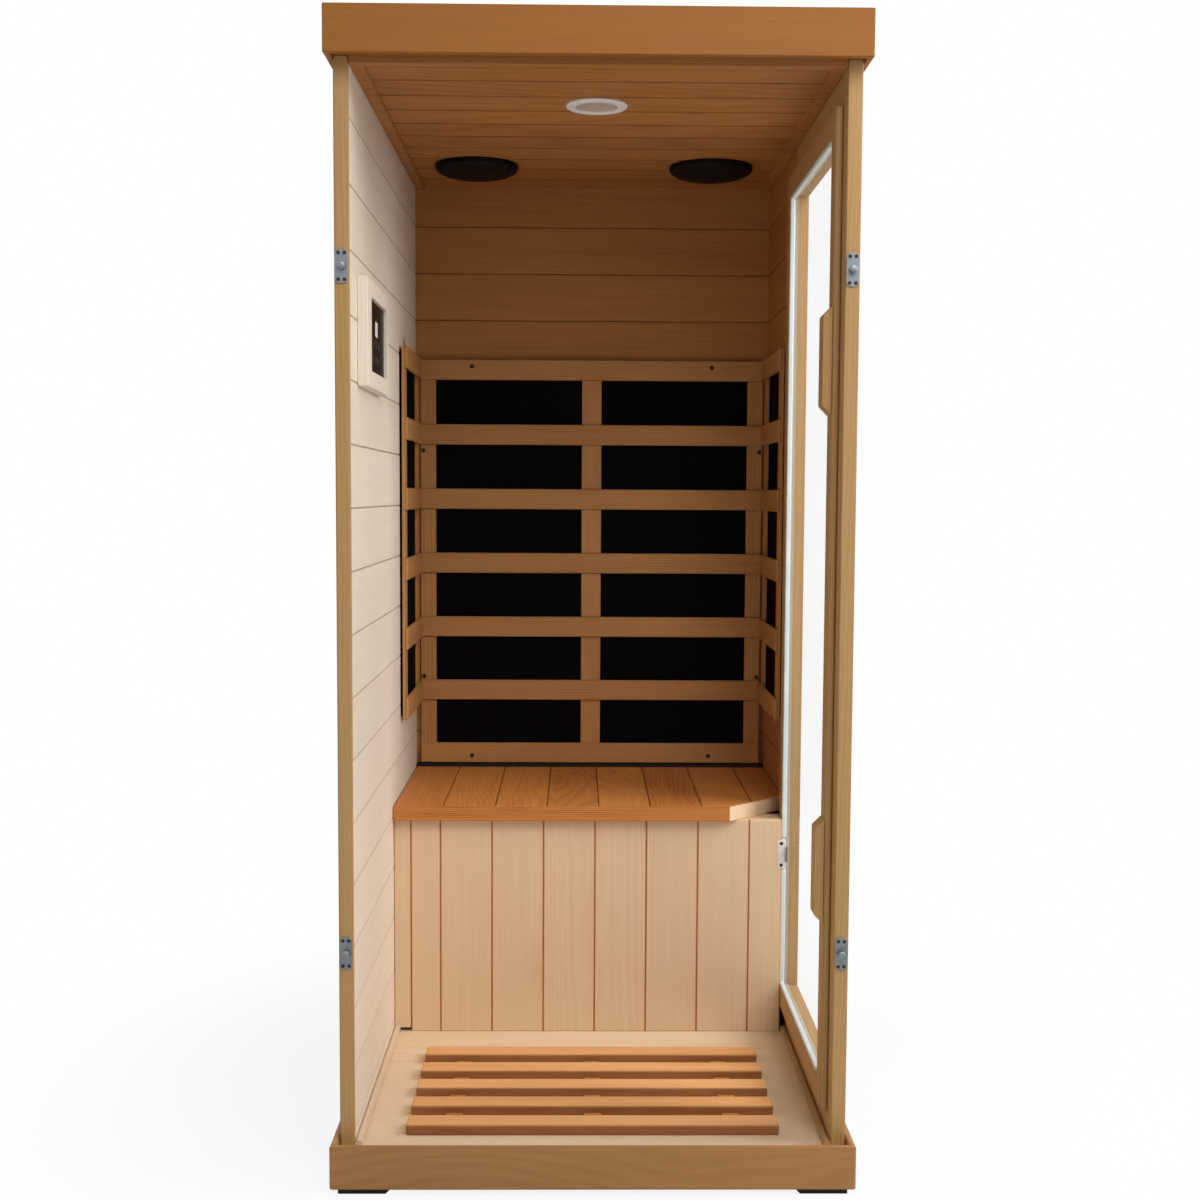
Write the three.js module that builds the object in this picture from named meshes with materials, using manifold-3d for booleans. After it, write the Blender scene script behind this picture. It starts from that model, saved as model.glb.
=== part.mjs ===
// One-person infrared sauna cabin with a glass door in its right wall and an open front.
// Millimetres, +Z up, +X to the right, front towards -Y, origin under the middle of the base.
import * as THREE from 'three';
import { mergeVertices } from 'three/addons/utils/BufferGeometryUtils.js';
import Module from 'manifold-3d';

const wasm = await Module();
wasm.setup();

// Whole cabin
const HEIGHT = 1900;
const WALL_THICKNESS = 24;

// Boards and their V-grooves
const BOARD_PITCH = 102.8;
const GROOVE_WIDTH = 4;
const GROOVE_DEPTH = 2;
const WALL_FIRST_LINE = 94.5;
const FLOOR_SEAM = 400;
const BENCH_FIRST_LINE = 99;
const KICK_FIRST_LINE = 59;

// Base
const FOOT_HEIGHT = 8;
const FOOT_SIZE = 84;
const FOOT_INSET_X = 13;
const FOOT_INSET_Y = 6;
const FOOT_CHAMFER = 6;
const APRON_HEIGHT = 73;
const APRON_THICKNESS = 11.5;
const APRON_ROUND = 4;
const APRON_GAP = 1;
const RIM_HEIGHT = 16;
const FRONT_SEAT = 26.5;

// Floor grille
const GRILLE_LENGTH = 630;
const GRILLE_START = 48;
const SLAT_WIDTH = 47;
const SLAT_HEIGHT = 18;
const SLAT_PITCH = 85.2;
const SLAT_COUNT = 5;
const GRILLE_BEARER_WIDTH = 30;
const GRILLE_BEARER_HEIGHT = 6;
const GRILLE_BEARER_SPACING = 240;

// Roof
const FASCIA_HEIGHT = 75;
const FASCIA_THICKNESS = 10;
const FASCIA_GAP = 0.5;
const DECK_THICKNESS = 12;
const COVER_THICKNESS = 8;
const COVER_RECESS = 10;
const CEILING_THICKNESS = 6;
const CEILING_GAP = 1;
const CEILING_TRIM_WIDTH = 20;
const CEILING_TRIM_DROP = 6;
const CEILING_FRONT_TRIM = 26;

// Loudspeakers and light in the ceiling
const SPEAKER_RADIUS = 86;
const SPEAKER_BODY_RADIUS = 76;
const SPEAKER_RIM = 3;
const SPEAKER_DOME = 20;
const SPEAKER_BODY_HEIGHT = 38;
const SPEAKER_MAGNET_RADIUS = 34;
const SPEAKER_SPACING = 486;
const SPEAKER_FROM_BACK = 237;
const LIGHT_RADIUS = 54.5;
const LIGHT_BODY_RADIUS = 45;
const LIGHT_LENS_RADIUS = 37;
const LIGHT_RIM = 5;
const LIGHT_BODY_HEIGHT = 30;
const LIGHT_LENS_THICKNESS = 6;
const LIGHT_LENS_RECESS = 2;
const LIGHT_FROM_FRONT = 287;
const FIT_CLEARANCE = 0.3;

// Door opening and its inner frame
const FRONT_STILE = 80;
const DOOR_WIDTH = 507;
const REAR_PANEL = 455;
const SILL_HEIGHT = 92;
const HEADER_HEIGHT = 105;
const FRAME_WIDTH = 43;
const FRAME_THICKNESS = 13;
const HINGE_BLOCK_LENGTH = 176;
const HINGE_BLOCK_THICKNESS = 15;
const SEAL_WIDTH = 9;
const SEAL_THICKNESS = 8;
const SEAL_SQUEEZED = 2;

// Glass door, its hinges and its catch
const GLASS_THICKNESS = 6;
const GLASS_GAP = 4;
const GLASS_SEAL_GAP = 0.5;
const PIVOT_OFFSET = 13;
const HINGE_HEIGHT = 80;
const HINGE_INSET = 363;
const HINGE_PLATE_WIDTH = 44;
const HINGE_PLATE_THICKNESS = 3;
const KNUCKLE_RADIUS = 5;
const KNUCKLE_HEIGHT = 26;
const KNUCKLE_NECK = 6;
const PIN_RADIUS = 2.5;
const PIN_CLEARANCE = 0.06;
const PIN_HEAD_RADIUS = 4;
const PIN_HEAD_HEIGHT = 3;
const CLAMP_LENGTH = 40;
const CLAMP_CHEEK = 3.2;
const CLAMP_BRIDGE = 6;
const CATCH_LENGTH = 58;
const CATCH_WIDTH = 18;
const CATCH_THICKNESS = 11;
const CATCH_CHAMFER = 2.5;
const CATCH_HEIGHT = 271;
const STRIKE_THICKNESS = 1.5;
const STRIKE_WIDTH = 16;
const STRIKE_LENGTH = 30;
const STRIKE_INSET = 3;

// Hook plates on the front edges of the side walls
const HOOK_PLATE_WIDTH = 21;
const HOOK_PLATE_LENGTH = 54;
const HOOK_PLATE_THICKNESS = 2.5;
const HOOK_INSET = 327.5;
const STUD_RADIUS = 3.5;
const STUD_LENGTH = 9;
const STUD_HEAD_RADIUS = 5.5;
const STUD_HEAD_LENGTH = 3;

// Bench and kickboard
const BENCH_HEIGHT = 462;
const BENCH_THICKNESS = 29;
const BENCH_DEPTH = 466;
const BENCH_BACK_GAP = 22;
const BENCH_SIDE_GAP = 1;
const BENCH_DOOR_GAP = 31;
const CLEAT_LENGTH = 700;
const CLEAT_DEPTH = 44;
const CLEAT_HEIGHT = 30;
const KICK_SETBACK = 20;
const KICK_THICKNESS = 15;
const KICK_LEFT_GAP = 34;
const KICK_RIGHT_GAP = 26.5;
const KICK_RAIL_DEPTH = 45;
const KICK_RAIL_HEIGHT = 40;
const POST_WIDTH = 23;
const POST_DEPTH = 20;
const POST_FOOT_GAP = 7;

// Heaters and their guards
const HEATER_THICKNESS = 5;
const HEATER_MARGIN = 8;
const GUARD_STILE_THICKNESS = 6;
const GUARD_RAIL_THICKNESS = 6;
const GUARD_RAIL_HEIGHT = 45.5;
const GUARD_RAIL_PITCH = 143.75;
const GUARD_ABOVE_BENCH = 8.5;
const BACK_GUARD_WIDTH = 768;
const BACK_GUARD_SIDE_GAP = 10.5;
const BACK_GUARD_RAILS = 7;
const BACK_GUARD_STILE = 35;
const BACK_GUARD_MULLION = 44;
const SIDE_GUARD_WIDTH = 298;
const SIDE_GUARD_RAILS = 6;
const SIDE_GUARD_STILE = 45;
const SIDE_GUARD_FROM_BACK = 44;

// Control box on the left wall
const CONTROL_THICKNESS = 18;
const CONTROL_FROM_FRONT = 88;
const CONTROL_ABOVE_FLOOR = 1256;
const PANEL_LENGTH = 212;
const PANEL_HEIGHT = 122;
const PANEL_THICKNESS = 12;
const PANEL_FRONT_MARGIN = 50;
const PANEL_REAR_MARGIN = 18;
const PANEL_EDGE_MARGIN = 29;

// Round pieces are drawn with this many sides
const ROUND = 32;

// Places that follow from the sizes; y runs back from the front of the base
const innerX = BACK_GUARD_WIDTH / 2 + BACK_GUARD_SIDE_GAP;
const outerX = innerX + WALL_THICKNESS;
const apronX = outerX + APRON_GAP;
const baseX = apronX + APRON_THICKNESS;
const fasciaX = outerX + FASCIA_GAP;
const roofX = fasciaX + FASCIA_THICKNESS;
const wallY = APRON_THICKNESS + FRONT_SEAT;
const jambY = wallY + FRONT_STILE;
const doorRearY = jambY + DOOR_WIDTH;
const backY = doorRearY + REAR_PANEL;
const backOuterY = backY + WALL_THICKNESS;
const apronRearY = backOuterY + APRON_GAP;
const depth = apronRearY + APRON_THICKNESS;
const fasciaRearY = backOuterY + FASCIA_GAP;
const roofRearY = fasciaRearY + FASCIA_THICKNESS;
const apronTop = FOOT_HEIGHT + APRON_HEIGHT;
const floorZ = apronTop - RIM_HEIGHT;
const ceilingZ = HEIGHT - FASCIA_HEIGHT;
const wallTop = ceilingZ + CEILING_THICKNESS;
const deckTop = wallTop + DECK_THICKNESS;
const sillZ = floorZ + SILL_HEIGHT;
const headerZ = wallTop - HEADER_HEIGHT;
const frameX = innerX - FRAME_THICKNESS;
const frameFrontY = jambY - FRAME_WIDTH;
const frameRearY = doorRearY + FRAME_WIDTH;
const glassInnerX = frameX + SEAL_WIDTH + GLASS_SEAL_GAP;
const glassOuterX = glassInnerX + GLASS_THICKNESS;
const pivotX = (glassInnerX + glassOuterX) / 2;
const pivotY = jambY + PIVOT_OFFSET;
const hingeZ = { upper: headerZ - HINGE_INSET, lower: sillZ + HINGE_INSET };
const benchTop = floorZ + BENCH_HEIGHT;
const benchBottom = benchTop - BENCH_THICKNESS;
const benchRearY = backY - BENCH_BACK_GAP;
const benchFrontY = benchRearY - BENCH_DEPTH;
const benchX = innerX - BENCH_SIDE_GAP;
const benchClip = frameRearY + BENCH_DOOR_GAP + benchX - frameX - benchFrontY;
const kickY = benchFrontY + KICK_SETBACK;
const guardBottom = benchTop + GUARD_ABOVE_BENCH;
const guardTop = guardBottom + (BACK_GUARD_RAILS - 1) * GUARD_RAIL_PITCH + GUARD_RAIL_HEIGHT;

// Materials, with colours read from the photograph
const material = (color, roughness, metalness = 0) =>
  new THREE.MeshStandardMaterial({ color, roughness, metalness });
const looks = {
  honeyWood: () => material(0xa86b32, 0.55),
  paleWood: () => material(0xdcc4a2, 0.6),
  brownWood: () => material(0xb4743c, 0.55),
  kickWood: () => material(0xcdaa82, 0.6),
  floorWood: () => material(0xe1c8a5, 0.6),
  blackFoot: () => material(0x0c0c0c, 0.7),
  heaterBlack: () => material(0x0a0a0a, 0.75),
  speakerBlack: () => material(0x121412, 0.6),
  panelBlack: () => material(0x0b0c0e, 0.3),
  whitePlastic: () => material(0xe6e4e8, 0.4),
  lensGrey: () => material(0xb4aaa0, 0.3),
  sealWhite: () => material(0xd8e4e6, 0.45),
  steel: () => material(0x8a929a, 0.35, 0.9),
  glass: () => material(0xdcebe8, 0.05),
};

// A box between limits on the three axes
function block([x0, x1], [y0, y1], [z0, z1]) {
  const geometry = new THREE.BoxGeometry(x1 - x0, y1 - y0, z1 - z0);
  return geometry.translate((x0 + x1) / 2, (y0 + y1) / 2, (z0 + z1) / 2);
}

// A flat outline carried along one axis: (y, z) along x, (z, x) along y, (x, y) along z
function prism(axis, points, from, to) {
  const shape = new THREE.Shape(points.map(([u, v]) => new THREE.Vector2(u, v)));
  const geometry = new THREE.ExtrudeGeometry(shape, { depth: to - from, bevelEnabled: false });
  geometry.translate(0, 0, from);
  const X = new THREE.Vector3(1, 0, 0);
  const Y = new THREE.Vector3(0, 1, 0);
  const Z = new THREE.Vector3(0, 0, 1);
  const bases = { x: [Y, Z, X], y: [Z, X, Y], z: [X, Y, Z] };
  return geometry.applyMatrix4(new THREE.Matrix4().makeBasis(...bases[axis]));
}

// An upright round bar on the line (x, y)
function bar(radius, x, y, z0, z1) {
  const geometry = new THREE.CylinderGeometry(radius, radius, z1 - z0, ROUND);
  return geometry.rotateX(Math.PI / 2).translate(x, y, (z0 + z1) / 2);
}

// A closed turned body about +Z from (radius, height) points
function turned(points) {
  const profile = points.map(([r, z]) => new THREE.Vector2(r, z));
  return new THREE.LatheGeometry(profile, ROUND).rotateX(Math.PI / 2);
}

// Where the grooves of a boarded panel fall between two edges
function grooveLines(first, low, high) {
  const lines = [];
  for (let at = first; at < high - GROOVE_WIDTH; at += BOARD_PITCH) {
    if (at > low + GROOVE_WIDTH) lines.push(at);
  }
  return lines;
}

// Outline of a boarded panel: u along the boards' widths, v from the grooved face at `face` to the back
function boardedOutline(low, high, face, back, lines) {
  const inward = Math.sign(back - face);
  const half = GROOVE_WIDTH / 2;
  const points = [[low, back], [low, face]];
  for (const at of lines) {
    points.push([at - half, face], [at, face + inward * GROOVE_DEPTH], [at + half, face]);
  }
  points.push([high, face], [high, back]);
  return points;
}

// Outline of a panel boarded on both faces
function boardedTwice(low, high, face, back, lines) {
  const inward = Math.sign(back - face);
  const half = GROOVE_WIDTH / 2;
  const points = boardedOutline(low, high, face, back, lines);
  for (const at of [...lines].reverse()) {
    points.push([at + half, back], [at, back - inward * GROOVE_DEPTH], [at - half, back]);
  }
  return points;
}

const swap = (points) => points.map(([u, v]) => [v, u]);

function toSolid(geometry) {
  const bare = geometry.clone();
  bare.deleteAttribute('normal');
  bare.deleteAttribute('uv');
  const welded = mergeVertices(bare);
  return new wasm.Manifold(new wasm.Mesh({
    numProp: 3,
    vertProperties: new Float32Array(welded.attributes.position.array),
    triVerts: new Uint32Array(welded.index.array),
  }));
}

function toGeometry(solid) {
  const mesh = solid.getMesh();
  const geometry = new THREE.BufferGeometry();
  geometry.setAttribute('position', new THREE.BufferAttribute(mesh.vertProperties, 3));
  geometry.setIndex(new THREE.BufferAttribute(mesh.triVerts, 1));
  geometry.computeVertexNormals();
  return geometry;
}

function join(...geometries) {
  return toGeometry(geometries.map(toSolid).reduce((whole, piece) => whole.add(piece)));
}

function cut(geometry, ...tools) {
  return toGeometry(tools.map(toSolid).reduce((whole, tool) => whole.subtract(tool), toSolid(geometry)));
}

const cabin = new THREE.Group();
cabin.position.y = -depth / 2;

function add(name, geometry, look, x = 0, y = 0, z = 0) {
  const mesh = new THREE.Mesh(geometry, look());
  mesh.name = name;
  mesh.position.set(x, y, z);
  cabin.add(mesh);
}

// Base: aprons with a rounded outer top edge, floor and feet
function apronOutline(outer, inner) {
  const inward = Math.sign(inner - outer);
  const points = [[outer, FOOT_HEIGHT], [inner, FOOT_HEIGHT], [inner, apronTop]];
  const steps = 4;
  for (let i = 0; i <= steps; i += 1) {
    const turn = (i / steps) * (Math.PI / 2);
    const across = outer + inward * APRON_ROUND * (1 - Math.sin(turn));
    points.push([across, apronTop - APRON_ROUND * (1 - Math.cos(turn))]);
  }
  return points;
}
add('base_apron_front', prism('x', apronOutline(0, APRON_THICKNESS), -baseX, baseX), looks.honeyWood);
add('base_apron_rear', prism('x', apronOutline(depth, apronRearY), -baseX, baseX), looks.honeyWood);
for (const [side, name] of [[-1, 'left'], [1, 'right']]) {
  const outline = swap(apronOutline(side * baseX, side * apronX));
  add(`base_apron_${name}`, prism('y', outline, APRON_THICKNESS, apronRearY), looks.honeyWood);
}
const floorOutline = boardedOutline(APRON_THICKNESS, apronRearY, floorZ, FOOT_HEIGHT, [wallY + FLOOR_SEAM]);
add('floor_panel', prism('x', floorOutline, -apronX, apronX), looks.floorWood);

// A foot tapers on its inner side
const footOutline = [
  [0, 0],
  [FOOT_SIZE - FOOT_CHAMFER, 0],
  [FOOT_SIZE, FOOT_CHAMFER],
  [FOOT_SIZE, FOOT_HEIGHT],
  [0, FOOT_HEIGHT],
];
for (const [side, name] of [[-1, 'left'], [1, 'right']]) {
  const outline = footOutline.map(([u, z]) => [z, side * (baseX - FOOT_INSET_X - u)]);
  const frontEnd = FOOT_INSET_Y;
  const rearEnd = depth - FOOT_INSET_Y - FOOT_SIZE;
  add(`foot_front_${name}`, prism('y', outline, frontEnd, frontEnd + FOOT_SIZE), looks.blackFoot);
  add(`foot_rear_${name}`, prism('y', outline, rearEnd, rearEnd + FOOT_SIZE), looks.blackFoot);
}

// Floor grille: slats joined by thin bearers
const grilleX = [-GRILLE_LENGTH / 2, GRILLE_LENGTH / 2];
const grilleY = wallY + GRILLE_START;
const grillePieces = [];
for (let i = 0; i < SLAT_COUNT; i += 1) {
  const y = grilleY + i * SLAT_PITCH;
  grillePieces.push(block(grilleX, [y, y + SLAT_WIDTH], [floorZ, floorZ + SLAT_HEIGHT]));
}
for (const place of [-1, 0, 1]) {
  const x = place * GRILLE_BEARER_SPACING;
  const rear = grilleY + (SLAT_COUNT - 1) * SLAT_PITCH + SLAT_WIDTH / 2;
  grillePieces.push(block(
    [x - GRILLE_BEARER_WIDTH / 2, x + GRILLE_BEARER_WIDTH / 2],
    [grilleY + SLAT_WIDTH / 2, rear],
    [floorZ, floorZ + GRILLE_BEARER_HEIGHT],
  ));
}
add('floor_grille', join(...grillePieces), looks.brownWood);

// Walls
const wallLines = [];
for (let z = wallTop - WALL_FIRST_LINE; z > floorZ + GROOVE_WIDTH; z -= BOARD_PITCH) wallLines.unshift(z);
const leftOutline = boardedTwice(floorZ, wallTop, -innerX, -outerX, wallLines);
add('left_wall_panel', prism('y', leftOutline, wallY, backY), looks.paleWood);
const backOutline = boardedTwice(floorZ, wallTop, backY, backOuterY, wallLines);
add('back_wall_panel', prism('x', swap(backOutline), -outerX, outerX), looks.brownWood);
const rightOutline = boardedTwice(floorZ, wallTop, innerX, outerX, wallLines);
add('right_wall_rear_panel', prism('y', rightOutline, doorRearY, backY), looks.brownWood);
const rightX = [innerX, outerX];
add('right_wall_front_stile', block(rightX, [wallY, jambY], [floorZ, wallTop]), looks.honeyWood);
add('right_wall_header', block(rightX, [jambY, doorRearY], [headerZ, wallTop]), looks.honeyWood);
add('right_wall_sill', block(rightX, [jambY, doorRearY], [floorZ, sillZ]), looks.honeyWood);

// Hook plates: a plate with a headed stud standing forward
function studPart(radius, from, to) {
  return new THREE.CylinderGeometry(radius, radius, to - from, ROUND).translate(0, -(from + to) / 2, 0);
}
const plateHalf = HOOK_PLATE_WIDTH / 2;
const plateBody = block(
  [-plateHalf, plateHalf],
  [-HOOK_PLATE_THICKNESS, 0],
  [-HOOK_PLATE_LENGTH / 2, HOOK_PLATE_LENGTH / 2],
);
const studEnd = HOOK_PLATE_THICKNESS + STUD_LENGTH;
const hookPlate = join(
  plateBody,
  studPart(STUD_RADIUS, HOOK_PLATE_THICKNESS / 2, studEnd),
  studPart(STUD_HEAD_RADIUS, studEnd - STUD_HEAD_LENGTH, studEnd),
);
for (const [side, name] of [[-1, 'left'], [1, 'right']]) {
  const x = side * (innerX + WALL_THICKNESS / 2);
  add(`hook_plate_upper_${name}`, hookPlate.clone(), looks.steel, x, wallY, wallTop - HOOK_INSET);
  add(`hook_plate_lower_${name}`, hookPlate.clone(), looks.steel, x, wallY, floorZ + HOOK_INSET);
}

// Inner door frame and hinge blocks
const frameDepth = [frameX, innerX];
const frameSpan = [sillZ - FRAME_WIDTH, headerZ + FRAME_WIDTH];
add('door_frame_front', block(frameDepth, [frameFrontY, jambY], frameSpan), looks.honeyWood);
add('door_frame_rear', block(frameDepth, [doorRearY, frameRearY], frameSpan), looks.honeyWood);
const doorY = [jambY, doorRearY];
add('door_frame_top', block(frameDepth, doorY, [headerZ, headerZ + FRAME_WIDTH]), looks.honeyWood);
add('door_frame_bottom', block(frameDepth, doorY, [sillZ - FRAME_WIDTH, sillZ]), looks.honeyWood);
for (const level of ['upper', 'lower']) {
  const low = hingeZ[level] - HINGE_BLOCK_LENGTH / 2;
  const high = hingeZ[level] + HINGE_BLOCK_LENGTH / 2;
  const proud = frameX - HINGE_BLOCK_THICKNESS;
  const outline = [
    [low, frameX],
    [low + HINGE_BLOCK_THICKNESS, proud],
    [high - HINGE_BLOCK_THICKNESS, proud],
    [high, frameX],
  ];
  add(`hinge_block_${level}`, prism('y', outline, frameFrontY, jambY), looks.honeyWood);
}

// Bulb seal on three sides of the reveal, squeezed flat behind the catch
const swingRadius = Math.hypot(PIVOT_OFFSET - GLASS_GAP, GLASS_THICKNESS / 2);
const sealStartY = pivotY + swingRadius + GLASS_SEAL_GAP;
const sealX = [frameX, frameX + SEAL_WIDTH];
const catchZ = sillZ + CATCH_HEIGHT;
const catchSpan = [catchZ - CATCH_LENGTH / 2, catchZ + CATCH_LENGTH / 2];
const sealOutline = [
  [sealStartY, sillZ],
  [doorRearY, sillZ],
  [doorRearY, headerZ],
  [sealStartY, headerZ],
  [sealStartY, headerZ - SEAL_THICKNESS],
  [doorRearY - SEAL_THICKNESS, headerZ - SEAL_THICKNESS],
  [doorRearY - SEAL_THICKNESS, catchSpan[1] + SEAL_THICKNESS],
  [doorRearY - SEAL_SQUEEZED, catchSpan[1] + FIT_CLEARANCE],
  [doorRearY - SEAL_SQUEEZED, catchSpan[0] - FIT_CLEARANCE],
  [doorRearY - SEAL_THICKNESS, catchSpan[0] - SEAL_THICKNESS],
  [doorRearY - SEAL_THICKNESS, sillZ + SEAL_THICKNESS],
  [sealStartY, sillZ + SEAL_THICKNESS],
];
add('door_seal', prism('x', sealOutline, sealX[0], sealX[1]), looks.sealWhite);

// Glass pane with notches round the hinge knuckles
const glassY = [jambY + GLASS_GAP, doorRearY - GLASS_GAP];
const glassZ = [sillZ + GLASS_GAP, headerZ - GLASS_GAP];
const bridgeY = pivotY + KNUCKLE_RADIUS + FIT_CLEARANCE;
const notchY = bridgeY + CLAMP_BRIDGE + FIT_CLEARANCE;
const notchHalf = HINGE_HEIGHT / 2 + PIN_HEAD_HEIGHT + GLASS_GAP;
const glassOutline = [
  [glassY[0], glassZ[0]],
  [glassY[1], glassZ[0]],
  [glassY[1], glassZ[1]],
  [glassY[0], glassZ[1]],
];
for (const level of ['upper', 'lower']) {
  glassOutline.push(
    [glassY[0], hingeZ[level] + notchHalf],
    [notchY, hingeZ[level] + notchHalf],
    [notchY, hingeZ[level] - notchHalf],
    [glassY[0], hingeZ[level] - notchHalf],
  );
}
add('door_glass', prism('x', glassOutline, glassInnerX, glassOuterX), looks.glass);

// Hinges: a leaf on the jamb, a clamp on the glass and a pin through both
const boreRadius = PIN_RADIUS + PIN_CLEARANCE;
const neckX = [pivotX - KNUCKLE_NECK / 2, pivotX + KNUCKLE_NECK / 2];
const hingeHalf = HINGE_HEIGHT / 2;
const knuckleHalf = KNUCKLE_HEIGHT / 2;
const leafInner = knuckleHalf + FIT_CLEARANCE;
const bore = bar(boreRadius, pivotX, pivotY, -HINGE_HEIGHT, HINGE_HEIGHT);
const leafY = [jambY, jambY + HINGE_PLATE_THICKNESS];
const leafX = [pivotX - HINGE_PLATE_WIDTH / 2, pivotX + HINGE_PLATE_WIDTH / 2];
const leafNeckY = [jambY + HINGE_PLATE_THICKNESS / 2, pivotY];
const leaf = cut(
  join(
    block(leafX, leafY, [-hingeHalf, hingeHalf]),
    block(neckX, leafNeckY, [leafInner, hingeHalf]),
    block(neckX, leafNeckY, [-hingeHalf, -leafInner]),
    bar(KNUCKLE_RADIUS, pivotX, pivotY, leafInner, hingeHalf),
    bar(KNUCKLE_RADIUS, pivotX, pivotY, -hingeHalf, -leafInner),
  ),
  bore,
);
const clampX = [glassInnerX - FIT_CLEARANCE - CLAMP_CHEEK, glassOuterX + FIT_CLEARANCE + CLAMP_CHEEK];
const clampEndY = notchY + CLAMP_LENGTH;
const clamp = cut(
  join(
    cut(
      block(clampX, [bridgeY, clampEndY], [-hingeHalf, hingeHalf]),
      block(
        [glassInnerX - FIT_CLEARANCE, glassOuterX + FIT_CLEARANCE],
        [bridgeY + CLAMP_BRIDGE, clampEndY + CLAMP_LENGTH],
        [-HINGE_HEIGHT, HINGE_HEIGHT],
      ),
    ),
    block(neckX, [pivotY, bridgeY + CLAMP_BRIDGE / 2], [-knuckleHalf, knuckleHalf]),
    bar(KNUCKLE_RADIUS, pivotX, pivotY, -knuckleHalf, knuckleHalf),
  ),
  bore,
);
const pin = join(
  bar(PIN_RADIUS, pivotX, pivotY, -hingeHalf, hingeHalf + PIN_HEAD_HEIGHT / 2),
  bar(PIN_HEAD_RADIUS, pivotX, pivotY, hingeHalf, hingeHalf + PIN_HEAD_HEIGHT),
);
for (const level of ['upper', 'lower']) {
  add(`hinge_plate_${level}`, leaf.clone(), looks.steel, 0, 0, hingeZ[level]);
  add(`hinge_clamp_${level}`, clamp.clone(), looks.steel, 0, 0, hingeZ[level]);
  add(`hinge_pin_${level}`, pin.clone(), looks.steel, 0, 0, hingeZ[level]);
}

// Magnetic catch on the rear jamb and its strike on the glass
const strikeX = [glassInnerX - STRIKE_THICKNESS, glassInnerX];
const strikeY = [glassY[1] - STRIKE_INSET - STRIKE_WIDTH, glassY[1] - STRIKE_INSET];
const strikeZ = [catchZ - STRIKE_LENGTH / 2, catchZ + STRIKE_LENGTH / 2];
add('catch_strike', block(strikeX, strikeY, strikeZ), looks.steel);
const catchOuterX = strikeX[0] - FIT_CLEARANCE;
const catchInnerX = catchOuterX - CATCH_WIDTH;
const catchRearY = doorRearY - SEAL_SQUEEZED - FIT_CLEARANCE;
const catchOutline = [
  [catchInnerX, catchRearY],
  [catchInnerX, catchRearY - CATCH_THICKNESS + CATCH_CHAMFER],
  [catchInnerX + CATCH_CHAMFER, catchRearY - CATCH_THICKNESS],
  [catchOuterX, catchRearY - CATCH_THICKNESS],
  [catchOuterX, catchRearY],
];
add('magnetic_catch', prism('z', catchOutline, catchSpan[0], catchSpan[1]), looks.whitePlastic);

// Roof: fascia boards, deck and cover
const fasciaZ = [ceilingZ, HEIGHT];
add('roof_fascia_front', block([-roofX, roofX], [0, FASCIA_THICKNESS], fasciaZ), looks.honeyWood);
add('roof_fascia_rear', block([-roofX, roofX], [fasciaRearY, roofRearY], fasciaZ), looks.honeyWood);
add('roof_fascia_left', block([-roofX, -fasciaX], [FASCIA_THICKNESS, fasciaRearY], fasciaZ), looks.honeyWood);
add('roof_fascia_right', block([fasciaX, roofX], [FASCIA_THICKNESS, fasciaRearY], fasciaZ), looks.honeyWood);
const insideX = [-fasciaX, fasciaX];
const insideY = [FASCIA_THICKNESS, fasciaRearY];
const coverTop = HEIGHT - COVER_RECESS;
add('roof_cover', block(insideX, insideY, [coverTop - COVER_THICKNESS, coverTop]), looks.honeyWood);

// Openings in ceiling and deck for the loudspeakers and the light
const lightY = wallY + LIGHT_FROM_FRONT;
const speakerY = backY - SPEAKER_FROM_BACK;
const speakerX = SPEAKER_SPACING / 2;
const roofHoles = [
  bar(SPEAKER_BODY_RADIUS + FIT_CLEARANCE, -speakerX, speakerY, floorZ, HEIGHT),
  bar(SPEAKER_BODY_RADIUS + FIT_CLEARANCE, speakerX, speakerY, floorZ, HEIGHT),
  bar(LIGHT_BODY_RADIUS + FIT_CLEARANCE, 0, lightY, floorZ, HEIGHT),
];
add('roof_deck', cut(block(insideX, insideY, [wallTop, deckTop]), ...roofHoles), looks.honeyWood);

// Ceiling boards run across, with trims along the front and both sides
const ceilingX = innerX - CEILING_GAP;
const ceilingRearY = backY - CEILING_GAP;
const trimZ = ceilingZ - CEILING_TRIM_DROP;
const ceilingTrimRearY = wallY + CEILING_FRONT_TRIM;
const ceilingLines = grooveLines(ceilingTrimRearY + BOARD_PITCH, ceilingTrimRearY, ceilingRearY);
const ceilingOutline = boardedOutline(ceilingTrimRearY, ceilingRearY, ceilingZ, wallTop, ceilingLines);
const frontTrim = [[wallY, wallTop], [wallY, trimZ], [ceilingTrimRearY, trimZ], [ceilingTrimRearY, ceilingZ]];
ceilingOutline.splice(0, 2, ...frontTrim);
const sideTrims = [-1, 1].map((side) => {
  const edges = [side * ceilingX, side * (ceilingX - CEILING_TRIM_WIDTH)].sort((a, b) => a - b);
  const trimHeight = [trimZ, wallTop - CEILING_THICKNESS / 2];
  return block(edges, [wallY + CEILING_FRONT_TRIM / 2, ceilingRearY], trimHeight);
});
const ceilingBoards = prism('x', ceilingOutline, -ceilingX, ceilingX);
add('ceiling_panel', cut(join(ceilingBoards, ...sideTrims), ...roofHoles), looks.brownWood);

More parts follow.
